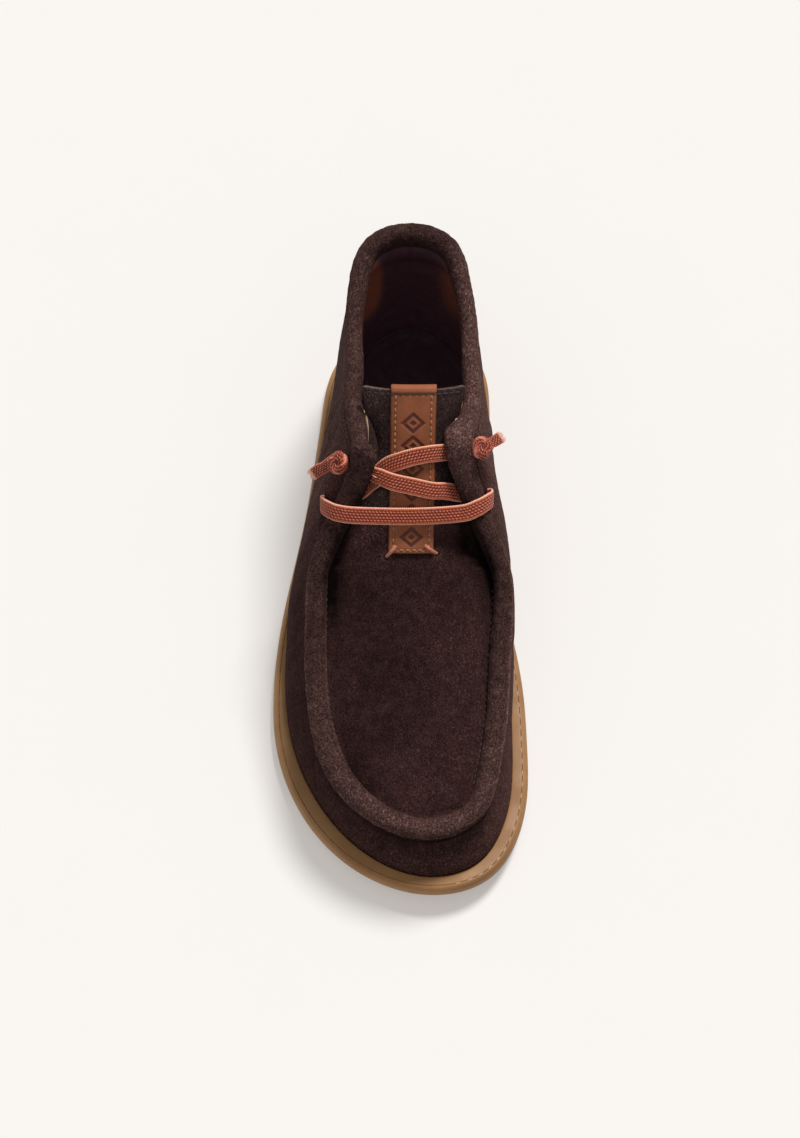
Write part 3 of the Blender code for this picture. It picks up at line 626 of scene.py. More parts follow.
def gum_rubber():
    """Gum rubber: cloudy amber with fine specks, paler on its lip. Its tone attribute paints shade above 0, in the
    stitched groove among other places, and light below 0.
    """
    f = Finish("gum_rubber_fine", Specular_IOR_Level=0.28, Subsurface_Weight=0.10, Subsurface_Scale=0.004)
    cloud = f.noise(14.0, 4, 0.6)
    tone = f.tone()
    ground = f.mix(f.between(cloud, 0.3, 0.7), (0.385, 0.198, 0.074), (0.320, 0.157, 0.057))
    ground = f.mix(f.between(f.cells(2.2), 0.0, 0.12, 0.35, 0.0), ground, (0.16, 0.075, 0.027))
    # tone above 0: painted shade; below 0: painted light and the paler lip
    ground = f.mix(f.between(tone, 0.0, 1.0), ground, (0.105, 0.040, 0.016))
    ground = f.mix(f.between(tone, 0.0, -1.0, 0.0, 0.8), ground, (0.52, 0.315, 0.165))
    f.set(Base_Color=ground, Normal=f.bump(f.noise(0.8, 3, 0.7), 0.04, 0.5))
    f.set(Roughness=f.between(cloud, 0.3, 0.7, 0.42, 0.58), Subsurface_Radius=(1.0, 0.55, 0.25))
    return f.material


def knit(name, base, gap, pale):
    """Flat elastic lace: rows of slanting stitches, and along each edge a smooth cord of fine ribs."""
    f = Finish(name, Roughness=0.75, Sheen_Weight=0.2, Sheen_Roughness=0.5, Specular_IOR_Level=0.2)
    across, along = f.sizes()
    math = f.math
    rows = math("MULTIPLY", across, KNIT_ROWS / LACE_WIDTH)
    in_row = math("FRACT", rows)
    odd = math("FLOORED_MODULO", math("FLOOR", rows), 2.0)
    step = math("ADD", math("MULTIPLY", along, 1 / KNIT_PITCH), math("MULTIPLY", odd, 0.5))
    step = math("ADD", step, math("MULTIPLY", in_row, 0.42))
    wave = math("ABSOLUTE", math("SUBTRACT", math("FRACT", step), 0.5))
    middle = math("ABSOLUTE", math("SUBTRACT", in_row, 0.5))
    reach = math("ADD", math("MULTIPLY", wave, 0.75), math("MULTIPLY", middle, 0.85))
    ribs = math("PINGPONG", math("MULTIPLY", along, 2 / KNIT_RIB), 1.0)
    edge = LACE_WIDTH / KNIT_ROWS
    at_edge = f.between(math("PINGPONG", across, LACE_WIDTH / 2), edge, 0.8 * edge)
    height = f.mix(at_edge, f.between(reach, 0.46, 0.24), f.between(ribs, 0.1, 0.9, 0.45, 0.95))
    height = math("ADD", height, f.between(f.noise(0.45, 2, 0.7), 0.3, 0.7, -0.18, 0.18))
    # Painted shade: the gap colour in the hollows between stitches. Painted highlight: the pale colour on their raised
    # tops.
    ground = f.mix(f.between(height, 0.05, 0.75), gap, base)
    ground = f.mix(f.between(height, 0.85, 1.2, 0.0, 0.55), ground, pale)
    ground = f.mix(f.between(f.tone(), 0.0, 1.0), ground, pale)
    f.set(Base_Color=ground, Normal=f.bump(height, 0.35, 0.9), Sheen_Tint=(1.0, 0.72, 0.6))
    return f.material


def thread(name, colour, shade):
    f = Finish("thread_" + name, Roughness=0.6, Sheen_Weight=0.3, Specular_IOR_Level=0.3)
    twist = f.noise(0.5, 1, 0.5, f.stretched((1.0, 1.0, 2.2)))
    f.set(Base_Color=f.mix(f.between(twist, 0.35, 0.65), colour, shade), Normal=f.bump(twist, 0.12))
    return f.material


FLOOR_COLOUR = np.array([0.947, 0.914, 0.880])
FLOOR_GLOW = 0.34  # share of the floor's brightness that it gives off itself: painted light that keeps the shadows on it light
FLOOR_LIGHT = 1.202  # light that falls on the open floor


def plain_floor():
    """Pale floor that glows a little by itself: painted light, so that shadows on it stay light."""
    f = Finish("floor_table", Roughness=0.9, Specular_IOR_Level=0.1, Emission_Strength=1.0)
    plain = (1 - FLOOR_GLOW) / FLOOR_LIGHT * FLOOR_COLOUR
    f.set(Base_Color=f.mix(f.between(f.noise(40.0, 2), 0.0, 1.0), plain, 1.01 * plain))
    f.set(Emission_Color=FLOOR_GLOW * FLOOR_COLOUR)
    return f.material


SUEDE_BROWN = suede("suede_brown", (0.0070, 0.0031, 0.0030), (0.0425, 0.0188, 0.0168), (0.15, 0.080, 0.071), 0.50)
SUEDE_ROLL = suede(
    "suede_roll", (0.0125, 0.0057, 0.0052), (0.068, 0.0330, 0.0285), (0.18, 0.105, 0.092), 0.62, 0.7, 0.45
)
SUEDE_TONGUE = suede(
    "suede_tongue", (0.0120, 0.0066, 0.0066), (0.046, 0.0265, 0.0250), (0.13, 0.088, 0.080), 0.7, 0.6, 0.3
)
SUEDE_EDGE = suede("suede_cut_edge", (0.045, 0.027, 0.024), (0.095, 0.062, 0.055), (0.22, 0.155, 0.14))
# The lining's deep colour is painted shade for the inside of the boot, and its lit colour a painted pool of light.
LINING = leather("lining_tan", (0.205, 0.096, 0.132), (0.020, 0.008, 0.009), 0.6, 0.8, (0.62, 0.21, 0.11))
# The insole is partly its own dark brown and partly darkened as painted shade of the boot's inside.
INSOLE = leather("insole_brown", (0.086, 0.033, 0.053), (0.030, 0.012, 0.014), 0.6, 0.8)
LINING_EDGE = leather("lining_edge", (0.50, 0.37, 0.22), (0.24, 0.15, 0.09), 0.7, 0.4)
STRIP = leather("strip_tan", (0.300, 0.084, 0.028), (0.105, 0.022, 0.010), 0.55, 0.5)
GUM = gum_rubber()
# Each knit's gap colour is painted shade and its pale colour painted highlight; the knotted copy is darker, with both
# stronger, for the bunched knots.
KNIT = knit("lace_knit", (0.59, 0.122, 0.053), (0.180, 0.020, 0.009), (0.90, 0.44, 0.30))
KNOTTED = knit("lace_knotted", (0.52, 0.090, 0.041), (0.105, 0.010, 0.005), (0.90, 0.46, 0.35))
# Two copies of the sole's thread: the dark one painted shade for most stitches, the pale one painted highlight for
# those beside the toe's inner side.
SOLE_THREAD = thread("sole", (0.22, 0.105, 0.035), (0.11, 0.046, 0.016))
SOLE_THREAD_LIT = thread("sole_lit", (0.74, 0.60, 0.42), (0.50, 0.36, 0.22))
STRIP_THREAD = thread("strip", (0.47, 0.22, 0.085), (0.25, 0.095, 0.035))
DARK_THREAD = thread("dark", (0.060, 0.028, 0.020), (0.028, 0.013, 0.010))
TIE = thread("coral", (0.64, 0.24, 0.14), (0.40, 0.105, 0.052))
FRAY = thread("frayed", (0.80, 0.52, 0.40), (0.60, 0.26, 0.16))
SEAM_THREAD = thread("seam", (0.085, 0.045, 0.034), (0.035, 0.018, 0.014))


# ---------------------------------------------------------------- camera, floor and light
AIM = Vector((0.0, 0.015, 0.0))
DISTANCE = 1.5
ELEVATION = np.radians(66.0)
TO_CAMERA = np.array([0.0, -np.cos(ELEVATION), np.sin(ELEVATION)])
LENS = 113.7
# Each lamp: strength, spread and the way its light goes. The fill comes from all round.
LAMPS = (
    ("key", 3.3, 0.28, (-0.27, -0.55, -0.79)),
    ("overhead", 0.5, 1.2, (0.02, 0.22, -0.97)),
)
FILL = 0.225
FLOOR_REACH = 6.0


def make_camera():
    lens = bpy.data.cameras.new("camera")
    lens.sensor_fit = "VERTICAL"
    lens.sensor_height = 36
    lens.lens = LENS
    camera = in_scene(bpy.data.objects.new("camera", lens))
    camera.location = AIM + Vector(TO_CAMERA) * DISTANCE
    camera.rotation_euler = (np.pi / 2 - ELEVATION, 0, 0)
    bpy.context.scene.camera = camera


def make_light():
    """A big lamp from behind and to the right, a wide one overhead and an even pale fill."""
    for name, energy, angle, toward in LAMPS:
        sun = bpy.data.lights.new(name, "SUN")
        sun.energy, sun.angle = energy, angle
        lamp = in_scene(bpy.data.objects.new(name, sun))
        lamp.rotation_euler = Vector(toward).to_track_quat("-Z", "Y").to_euler()
    world = bpy.data.worlds.new("fill")
    world.use_nodes = True
    background = world.node_tree.nodes["Background"]
    background.inputs["Color"].default_value = (1.0, 1.0, 1.0, 1)
    background.inputs["Strength"].default_value = FILL
    bpy.context.scene.world = world
    bpy.context.scene.view_settings.view_transform = "Standard"


def make_floor():
    mesh = bpy.data.meshes.new("floor")
    corners = [(x * FLOOR_REACH, y * FLOOR_REACH, 0) for x, y in ((-1, -1), (1, -1), (1, 1), (-1, 1))]
    mesh.from_pydata(corners, [], [(0, 1, 2, 3)])
    mesh.materials.append(plain_floor())
    in_scene(bpy.data.objects.new("floor", mesh))


# ---------------------------------------------------------------- lace
KNOT_RING = 2.0  # radius of the overhand knot's ring
KNOT_WEAVE = 1.25  # radius of its weave in and out of that ring
CORD_WIDE = 4.2  # width of the lace where it is bunched in a knot, stated as the cord's diameter
CORD_THICK = 2.5
CORD_SIDES = 28
TAIL_THICK = (1.9, 1.6, 1.1)  # at each of the tail's points
# Each lace end: eyelet, middle of its knot, way of its tail, its tail's points, tail's width along it.
KNOTS = {
    "lace_end_outer": (
        "upper_outer", (-24.6, 23.4, 84.6), (-0.86, -0.18, -0.47),
        ((-29.4, 23.4, 81.8), (-32.2, 22.7, 79.6), (-35.2, 21.6, 77.2)), (4.6, 5.0, 5.0),
    ),
    "lace_end_inner": (
        "upper_inner", (32.4, 27.5, 89.9), (0.74, 0.67, -0.04),
        ((35.6, 29.2, 89.4), (37.8, 31.0, 89.0), (40.4, 33.2, 88.5)), (4.2, 4.6, 5.0),
    ),
}


def knot_route(hole, centre, way):
    """Out of its eyelet and round one overhand knot: points, and the way the lace's face looks there."""
    place, out = eyelet(hole)
    two = unit(np.array(way, float))
    axis = unit(TO_CAMERA - (TO_CAMERA @ two) * two)
    one = np.cross(two, axis)
    t = np.linspace(0.9, 4 * np.pi - 0.35, 30)[:, None]
    level = np.cos(t) * one + np.sin(t) * two
    reach = KNOT_RING + KNOT_WEAVE * np.cos(1.5 * t)
    loops = np.array(centre) + level * reach - np.sin(1.5 * t) * KNOT_WEAVE * axis
    faces = level * np.cos(1.5 * t) - np.sin(1.5 * t) * axis
    return np.vstack([place - out * 0.5, place + out * 1.0, loops]), np.vstack([[axis, axis], faces])


def sizes_map(across, path):
    """Places on a lace in mm: across it, from -1 to 1 at its edges, and along its path."""
    return np.stack(np.broadcast_arrays((across + 1) * LACE_WIDTH / 2, lengths(path)[:, None]), axis=-1)


def make_cord(name, hole, centre, way, tail, tail_width):
    """A lace end along its route: out of its eyelet, knotted once, with a short flat tail."""
    points, faces = knot_route(hole, centre, way)
    wide = [*np.full(len(points), CORD_WIDE), *tail_width]
    thick = [*np.full(len(points), CORD_THICK), *TAIL_THICK]
    faces = np.vstack([faces, np.tile(TO_CAMERA, (len(tail), 1))])
    for k in range(1, len(faces)):
        faces[k] *= np.sign(faces[k] @ faces[k - 1])
    route = evenly(np.column_stack([np.vstack([points, tail]), faces, wide, thick]), 0.3)
    path, face, wide, thick = route[:, :3], route[:, 3:6], route[:, 6], route[:, 7]
    along = unit(np.gradient(path, axis=0))
    face = unit(face - along * np.sum(face * along, axis=1, keepdims=True))
    turn = np.arange(CORD_SIDES) * 2 * np.pi / CORD_SIDES
    across = np.sign(np.cos(turn)) * np.abs(np.cos(turn)) ** 0.6
    raised = np.sign(np.sin(turn)) * np.abs(np.sin(turn)) ** 0.8
    cut = 0.9 * ease(column_of(np.linspace(0, 1, len(path))), 0.965, 0.99)
    tone = np.maximum(cut, 0.5 * ease(np.abs(across), 0.9, 1.0))
    skin = Skin()
    section = across, raised
    tube(skin, path, np.cross(face, along), face, wide, thick, section, tone, sizes_map(across, path), CORD_SIDES)
    cord = skin.make(name, KNOTTED, weld=True)
    finish(cord, "lace_weave", name.replace("end", "knot"))
    eyelet(hole)[0] * MM
    round(float(lengths(path)[-1]) * MM, 4)
    make_fray(name.replace("end", "fray"), path[-1], unit(path[-1] - path[-6]), 0.8 * wide[-1])


def make_fray(name, end, way, width):
    """Loose pale fibres that stand out of a lace's cut end."""
    rng = np.random.default_rng(7)
    aside = unit(np.cross(TO_CAMERA, way))
    steps = column_of(np.linspace(0, 1, 5))
    thick = 0.24 - 0.12 * steps[:, 0]
    skin = Skin()
    for _ in range(26):
        start = end + aside * rng.uniform(-0.5, 0.5) * width - way * 0.5
        lean = unit(way + aside * rng.normal(0, 0.35) + TO_CAMERA * rng.normal(0, 0.3))
        bend = unit(way + aside * rng.normal(0, 0.7) + TO_CAMERA * rng.normal(0, 0.5))
        line = start + (lean * steps + bend * (0.5 * steps**2)) * rng.uniform(0.7, 1.5)
        one = unit(np.cross(lean, TO_CAMERA))
        tube(skin, line, one, np.cross(lean, one), thick, thick, sides=5)
    finish(skin.make(name, FRAY, weld=True), "lace_weave")


def lace_route():
    """The whole lace between its two knots, through all four eyelets."""

    def through(name, steps):
        place, out = eyelet(name)
        return [place + out * step for step in steps]

    inwards = (0.8, -1.2, -3.6)
    outwards = inwards[::-1]
    under = [tongue.at(row, x, lift) for row, x, lift in UNDER_ROUTE]
    over = [tongue.at(row, x, lift) for row, x, lift in OVER_ROUTE]
    route = through("upper_inner", inwards) + under + through("lower_outer", outwards) + list(BAR_ROUTE)
    return route + through("lower_inner", inwards) + over + through("upper_outer", outwards)


def make_lace():
    """The lace, bunched where it goes through its holes and where it dives under itself."""
    path = evenly(lace_route(), 0.35)
    along = unit(np.gradient(path, axis=0))
    face = unit(np.cross(along, SLOPE_UP))
    side = np.cross(face, along)
    holes = np.array([eyelet(name)[0] for name in ("upper_outer", "upper_inner")])
    near = np.linalg.norm(path[:, None] - holes, axis=-1).min(axis=1)
    dive = np.linalg.norm(path - tongue.at(*UNDER_ROUTE[-1]), axis=1)
    width = LACE_WIDTH - 2.6 * (1 - ease(near, 1.5, 6.0)) - 2.0 * bell(dive, 4.5)
    thick = LACE_THICK + 0.9 * (1 - ease(near, 1.5, 5.0))
    u = np.linspace(-1, 1, 25)
    profile = 0.22 + 0.78 * np.sqrt(1 - np.abs(u) ** 5)
    middle = path[:, None] + side[:, None] * (width[:, None] * u / 2)[..., None]
    raised = face[:, None] * (thick[:, None] * profile / 2)[..., None]
    tone = ease(np.abs(u), 0.84, 0.94)
    lace = slab("lace", middle + raised, middle - raised, (KNIT,), tone=tone, uv=sizes_map(u, path))
    finish(lace, "lace_weave", "lace_bar", "lace_crossing")


# ---------------------------------------------------------------- sole
SOLE_PROFILE = (  # from the bottom edge up over the lip and the stitched groove: out, up
    (-3.0, 0.0), (-1.7, 0.22), (-0.8, 0.9), (-0.3, 2.0), (-0.05, 3.3), (0.0, 4.6), (-0.12, 5.7), (-0.42, 6.6),
    (-0.9, 7.3), (-1.5, 7.75), (-2.0, 7.93), (-2.25, 7.93), (-2.42, 7.76), (-2.6, 7.95), (-3.0, 8.04), (-3.5, 8.08),
)
RIM_TOP = (  # from there to the wall and down to the floor: share of the way in to the wall, up
    (0.45, 8.08), (0.85, 8.1), (0.96, 8.02), (1.0, 7.7), (1.0, 6.2), (1.0, FLOOR_Z),
)
GROOVE = -2.42  # the stitched groove's place, out from the sole's outline
GROOVE_Z = 7.72
TREAD_DEPTH = 1.1
TREAD_PITCH = 6.4


def tread(x, y, share):
    """Depth of the wavy grooves in the sole's underside. share: 1 at its outline, 0 at its middle."""
    wave = (y + 1.6 * np.sin(2 * np.pi * x / 15)) / TREAD_PITCH
    groove = 1 - ease(np.abs(wave - np.round(wave)), 0.10, 0.19)
    field = (1 - ease(share, 0.80, 0.84)) * (1 - ease(y, 22, 24) * (1 - ease(y, 54, 56)))
    return TREAD_DEPTH * groove * field


def make_outsole():
    profile, rim = smooth(SOLE_PROFILE, 64), np.array(RIM_TOP)
    end = SOLE_PROFILE[-1][0]
    level = np.vstack([profile[:, :1].repeat(ring.count, axis=1), end - (ring.ledge + end) * rim[:, :1]])
    height = column_of([*profile[:, 1], *rim[:, 1]])
    rows = from_edge(ring, level, height)
    x, y = rows[..., 0], rows[..., 1]
    rows[..., 2] += arch(x, y) * (1 - np.clip(height / RIM_Z, 0, 1))
    groove = bell(level - GROOVE, 0.20) * (height > 7)
    lip = bell(level + 1.2, 0.7) * (height > 5)
    # tone, higher for darker: painted shade in the stitched groove, weaker on the inner side, and on the toe and its
    # lip; the inner-side mask below paints the outer side paler and the inner side darker, evening out the lamp's
    # light; darker towards the floor, a little paler on the lip.
    lit_side = ease(x, 5, 32)
    tone = (
        (1.0 - 0.75 * lit_side) * groove * (0.55 + 0.45 * noise(rows, 17, 51)) - 0.10 * lip
        + 0.30 * (1 - ease(height, 0.0, 5.0)) + (0.16 + 0.22 * lip) * ease(-y, 85, 128) + 0.16 * ease(x, 20, 50)
        - 0.35 + 0.5 * lit_side
    )
    skin = Skin()
    side = skin.grid(rows, closed=True, tone=tone)
    for row, steps in ((0, 50), (-1, 12)):
        shares = column_of(np.linspace(1, 0.01, steps)[1:])
        flat = infill(rows[row], shares)
        x, y = flat[..., 0], flat[..., 1]
        height = spring(y) + (FLOOR_Z if row else arch(x, y) + tread(x, y, shares))
        inner = skin.grid(points_of(flat, height), closed=True, tone=0.1)
        skin.bridge(side[row], inner[0])
        skin.zip_up(inner[-1])
    finish(skin.make("outsole_gum", GUM), "gum_rubber", "outsole")


def stitches(name, path, up, material, slot, size, pitch):
    """A row of small stitches along a path. up: way out of it. size: length, width and height of each."""
    spaced = evenly(path, pitch)
    up = np.broadcast_to(up, np.shape(path))
    at = np.linspace(0, 1, len(spaced))
    ups = unit(np.stack([np.interp(at, np.linspace(0, 1, len(up)), column) for column in up.T], axis=1))
    t = column_of(np.linspace(-1, 1, 7))
    width = size[1] * np.sqrt(np.clip(1.08 - t[:, 0] ** 2, 0.05, 1))
    skin = Skin()
    for place, way, out in zip(spaced, unit(np.gradient(spaced, axis=0)), ups):
        line = place + way * (t * size[0] / 2) + out * ((1 - t**2) * size[2] * 0.6 - 0.05)
        tube(skin, line, np.cross(out, way), out, width, width * 0.8, sides=6)
    finish(skin.make(name, material, weld=True), slot)


def make_sole_stitches():
    """Stitches in the rim's groove: pale thread beside the toe's inner side as painted highlight, dark thread
    elsewhere as painted shade.
    """
    path = from_edge(ring, GROOVE, GROOVE_Z)[::6]
    pale = (path[:, 0] > 22) & (path[:, 1] < 0)
    loop, count = np.roll(path, -np.argmax(pale), axis=0), pale.sum()
    for side, run, material in (("inner", loop[:count], SOLE_THREAD_LIT), ("outer", loop[count:], SOLE_THREAD)):
        stitches(f"outsole_stitches_{side}", run, UP, material, "gum_rubber", (2.9, 0.38, 0.12), 5.0)


def foot_row(depth):
    """The foot of the wall on the sole's floor, `depth` inside the wall's outside."""
    return from_edge(ring, -ring.ledge - GAP - depth, FLOOR_Z + GAP)


def make_insole():
    shares = column_of([1.0, 0.985, 0.965, *np.linspace(0.94, 0.02, 24)])
    flat = infill(foot_row(WALL), shares)
    base = FLOOR_Z + GAP + spring(flat[..., 1])
    cupped = 1.8 * ease(shares, 0.88, 1.0) * ease(flat[..., 1], 20, 60)
    skin = Skin()
    # a little painted shade where it cups up toward the wall
    high = skin.grid(points_of(flat, base + INSOLE_THICK + cupped), closed=True, tone=0.1 * cupped)
    low = skin.grid(points_of(flat, base), closed=True)
    skin.bridge(low[0], high[0])
    skin.zip_up(high[-1])
    skin.zip_up(low[-1])
    finish(skin.make("insole_leather", INSOLE), "lining_leather", "insole")


# ---------------------------------------------------------------- upper
WALL_SHARES = np.concatenate([np.linspace(0, 0.9, 60), np.linspace(0.912, 1, 11)])
SEAM_ROW = 64  # of the wall's rows: the seam under the rolled edges of collar and facings
# Soft troughs and ridges in the wall: the rib they are placed from, each point's place in ribs from it
# and height as a share of the wall, then the width and the height.
WALL_FOLDS = (
    ("ankle_back_outer", (0.5, 1.3, 1.9, 2.8, 3.9, 5.8), (0.48, 0.63, 0.69, 0.66, 0.76, 0.88), 1.5, 1.1),
    ("quarter_outer", (-0.15, -0.05, 0.1), (0.95, 0.72, 0.45), 2.4, -0.7),
    ("quarter_outer", (0.35, 0.35, 0.45), (0.93, 0.70, 0.40), 2.2, 0.5),
    ("quarter_outer", (0.7, 0.75, 0.9), (0.90, 0.62, 0.34), 2.4, -0.6),
    ("ankle_outer", (0.2, 0.3, 0.5), (0.92, 0.6, 0.25), 3.0, -0.6),
    ("facing_low_outer", (0.3, 0.45, 0.4), (0.80, 0.55, 0.3), 2.6, -0.6),
    ("throat_outer", (0.4, 0.6, 0.55), (0.86, 0.6, 0.3), 2.6, -0.5),
    ("vamp_outer", (0.3, 0.5, 0.3), (0.90, 0.55, 0.25), 2.4, -0.45),
    ("vamp_inner", (0.35, 0.2, 0.3), (0.88, 0.55, 0.25), 2.6, -0.5),
    ("throat_inner", (0.5, 0.35, 0.5), (0.86, 0.6, 0.3), 2.6, -0.55),
    ("quarter_inner", (0.55, 0.6, 0.5), (0.93, 0.7, 0.42), 2.4, -0.7),
    ("quarter_inner", (0.15, 0.2, 0.05), (0.93, 0.66, 0.36), 2.2, 0.5),
    ("tip_inner", (0.85, 0.8, 0.6), (0.88, 0.62, 0.36), 2.4, -0.6),
    ("ankle_inner", (0.7, 0.6, 0.5), (0.92, 0.6, 0.3), 3.0, -0.6),
)


def seam_span():
    """1 on the columns of the ring that the wall's seam runs along."""
    outer = ease(ring.rib, 3.8, 4.6) * (1 - ease(ring.rib, 9.4, 10.2))
    return outer + ease(ring.rib, 20.2, 21.0) * (1 - ease(ring.rib, 24.6, 25.4))


def make_wall_seams(outer):
    """Fine stitches beside the rolled edges, from the throat to the ankle on each side."""
    ways = wall_facing(ring, WALL_SHARES[SEAM_ROW])
    for side, first, last in (("outer", 4.2, 9.8), ("inner", 20.6, 25.0)):
        run = (ring.rib > first) & (ring.rib < last)
        stitches(f"facing_seam_{side}", outer[SEAM_ROW][run], ways[run], SEAM_THREAD, "suede", (1.4, 0.4, 0.2), 2.4)


def wall_shape():
    """The outside of the wall as rows of points, with its folds, seam and puckered lace holes."""
    grid, out = wall_row(ring, WALL_SHARES), wall_facing(ring, WALL_SHARES)
    share, bump = column_of(WALL_SHARES), ring.bump
    seam = seam_span() * bell(share - WALL_SHARES[SEAM_ROW], 0.009)
    second_fold = bump("toe_tip", 0.35, 1.3)
    crease = second_fold * bell(share - 0.83, 0.014)
    lift = 0.25 * noise(grid, 24, 3) + 0.10 * noise(grid, 9, 4) + nap(grid, 0.09)
    lift = (
        lift * ease(share, 0.0, 0.1) * (1 - ease(share, 0.93, 1))
        + 0.45 * bell(share - 0.06, 0.035) - 0.55 * ease(share, 0.96, 1) - 0.3 * seam
        + 0.8 * second_fold * bell(share - 0.87, 0.02) - 0.9 * crease
        - 1.2 * bump("tip_inner", -0.3, 2.4) * np.sin(np.pi * share)
    )
    # tone, higher for paler: painted shade just above the rim, under the rolled edge, in the crease at the toe and
    # below the ridge on the outer toe; painted highlight on the second fold's top; painted light low on the toe's
    # front, on the inner vamp, the outer quarter and the inner tip. The darker line along the seam is the seam itself.
    tone = (
        0.38 - 0.45 * (1 - ease(share, 0.0, 0.07)) - 0.55 * ease(share, 0.93, 0.99) - 0.25 * seam
        - 0.9 * crease + 0.7 * second_fold * bell(share - 0.87, 0.015)
        - 0.8 * bump("toe_outer", -0.2, 4.0) * ease(share, 0.62, 0.84) * (1 - second_fold)
        + 0.45 * bump("toe_tip", 0.2, 4.5) * (1 - ease(share, 0.4, 0.7)) + 0.12 * bump("vamp_inner", 0.0, 5.0)
        + 0.95 * bump("quarter_outer", 0.5, 4.0) + 1.15 * bump("tip_inner", 0.6, 3.6)
    )
    # Painted shade round each lace hole, where the wall dips.
    for name in EYELETS:
        away = np.linalg.norm(grid - eyelet(name)[0], axis=-1)
        lift = lift - 0.6 * bell(away, 3.6)
        tone = tone - 0.3 * bell(away, 3.2)
    for rib, places, heights, width, height in WALL_FOLDS:
        route = [wall_row(ring, up)[ring.column(rib, place)] for place, up in zip(places, heights)]
        line = furrow(grid, route, width)
        lift = lift + 0.7 * height * line
        # painted highlight along each fold's ridge and painted shade in its trough
        tone = tone + 0.15 * np.sign(height) * line
    heel = np.abs(grid[..., 0] - 4.0) + 100 * (grid[..., 1] < 60)
    lift = lift - 0.4 * bell(heel, 0.5) * (1 - ease(share, 0.95, 0.99))
    return grid + out * lift[..., None], tone


def punch(thing, hole):
    """Opens a lace hole in the outside of the wall and turns its rim in by the suede's thickness."""
    place, out = eyelet(hole)
    centre, axis = Vector(place * MM), Vector(out)
    radius, reach = EYELET_BORE / 2 * MM, 6 * MM
    shape = bmesh.new()
    shape.from_mesh(thing.data)

    def aside(vert):
        """The way from the hole's axis to a vertex."""
        gone = vert.co - centre
        return gone - axis * gone.dot(axis)

    near = [v for v in shape.verts if (v.co - centre).length < reach and v.normal.dot(axis) > 0.3]
    bmesh.ops.delete(shape, geom=[v for v in near if aside(v).length < radius], context="VERTS")
    rim = [e for e in shape.edges if e.is_boundary and aside(e.verts[0]).length < 2 * radius]
    rim = [e for e in rim if (e.verts[0].co - centre).length < reach]
    for vert in {v for e in rim for v in e.verts}:
        vert.co += aside(vert).normalized() * radius - aside(vert)
    for push, narrow in ((0.5, 0.03), (SUEDE, 0.07)):
        made = bmesh.ops.extrude_edge_only(shape, edges=rim)["geom"]
        rim = [g for g in made if isinstance(g, bmesh.types.BMEdge)]
        for vert in {v for e in rim for v in e.verts}:
            vert.co -= axis * push * MM + aside(vert) * narrow
    shape.to_mesh(thing.data)
    shape.free()


def make_wall():
    outer, tone = wall_shape()
    make_wall_seams(outer)
    angle = np.radians(-ring.tuck)
    inward = [
        from_crest(ring, part * ring.half * np.cos(angle), ring.deep * (part * np.sin(angle) - 1))
        for part in (0.8, 0.55)
    ]
    skin = Skin()
    tone = np.vstack([tone[:1], tone, tone[-1:], tone[-1:]])
    out = skin.grid(np.concatenate([[foot_row(0.0)], outer, inward]), closed=True, tone=tone)
    back = under_wall(np.linspace(0.0, 0.97, 14), SUEDE)
    # The suede's inner face, under the lining, is painted a little darker: painted shade.
    inn = skin.grid(np.concatenate([[foot_row(SUEDE)], back]), closed=True, tone=-0.3)
    skin.bridge(out[-1], inn[-1])
    skin.bridge(inn[0], out[0])
    wall = skin.make("upper_wall", SUEDE_BROWN)
    for name in EYELETS:
        punch(wall, name)
    finish(wall, "suede", "upper")


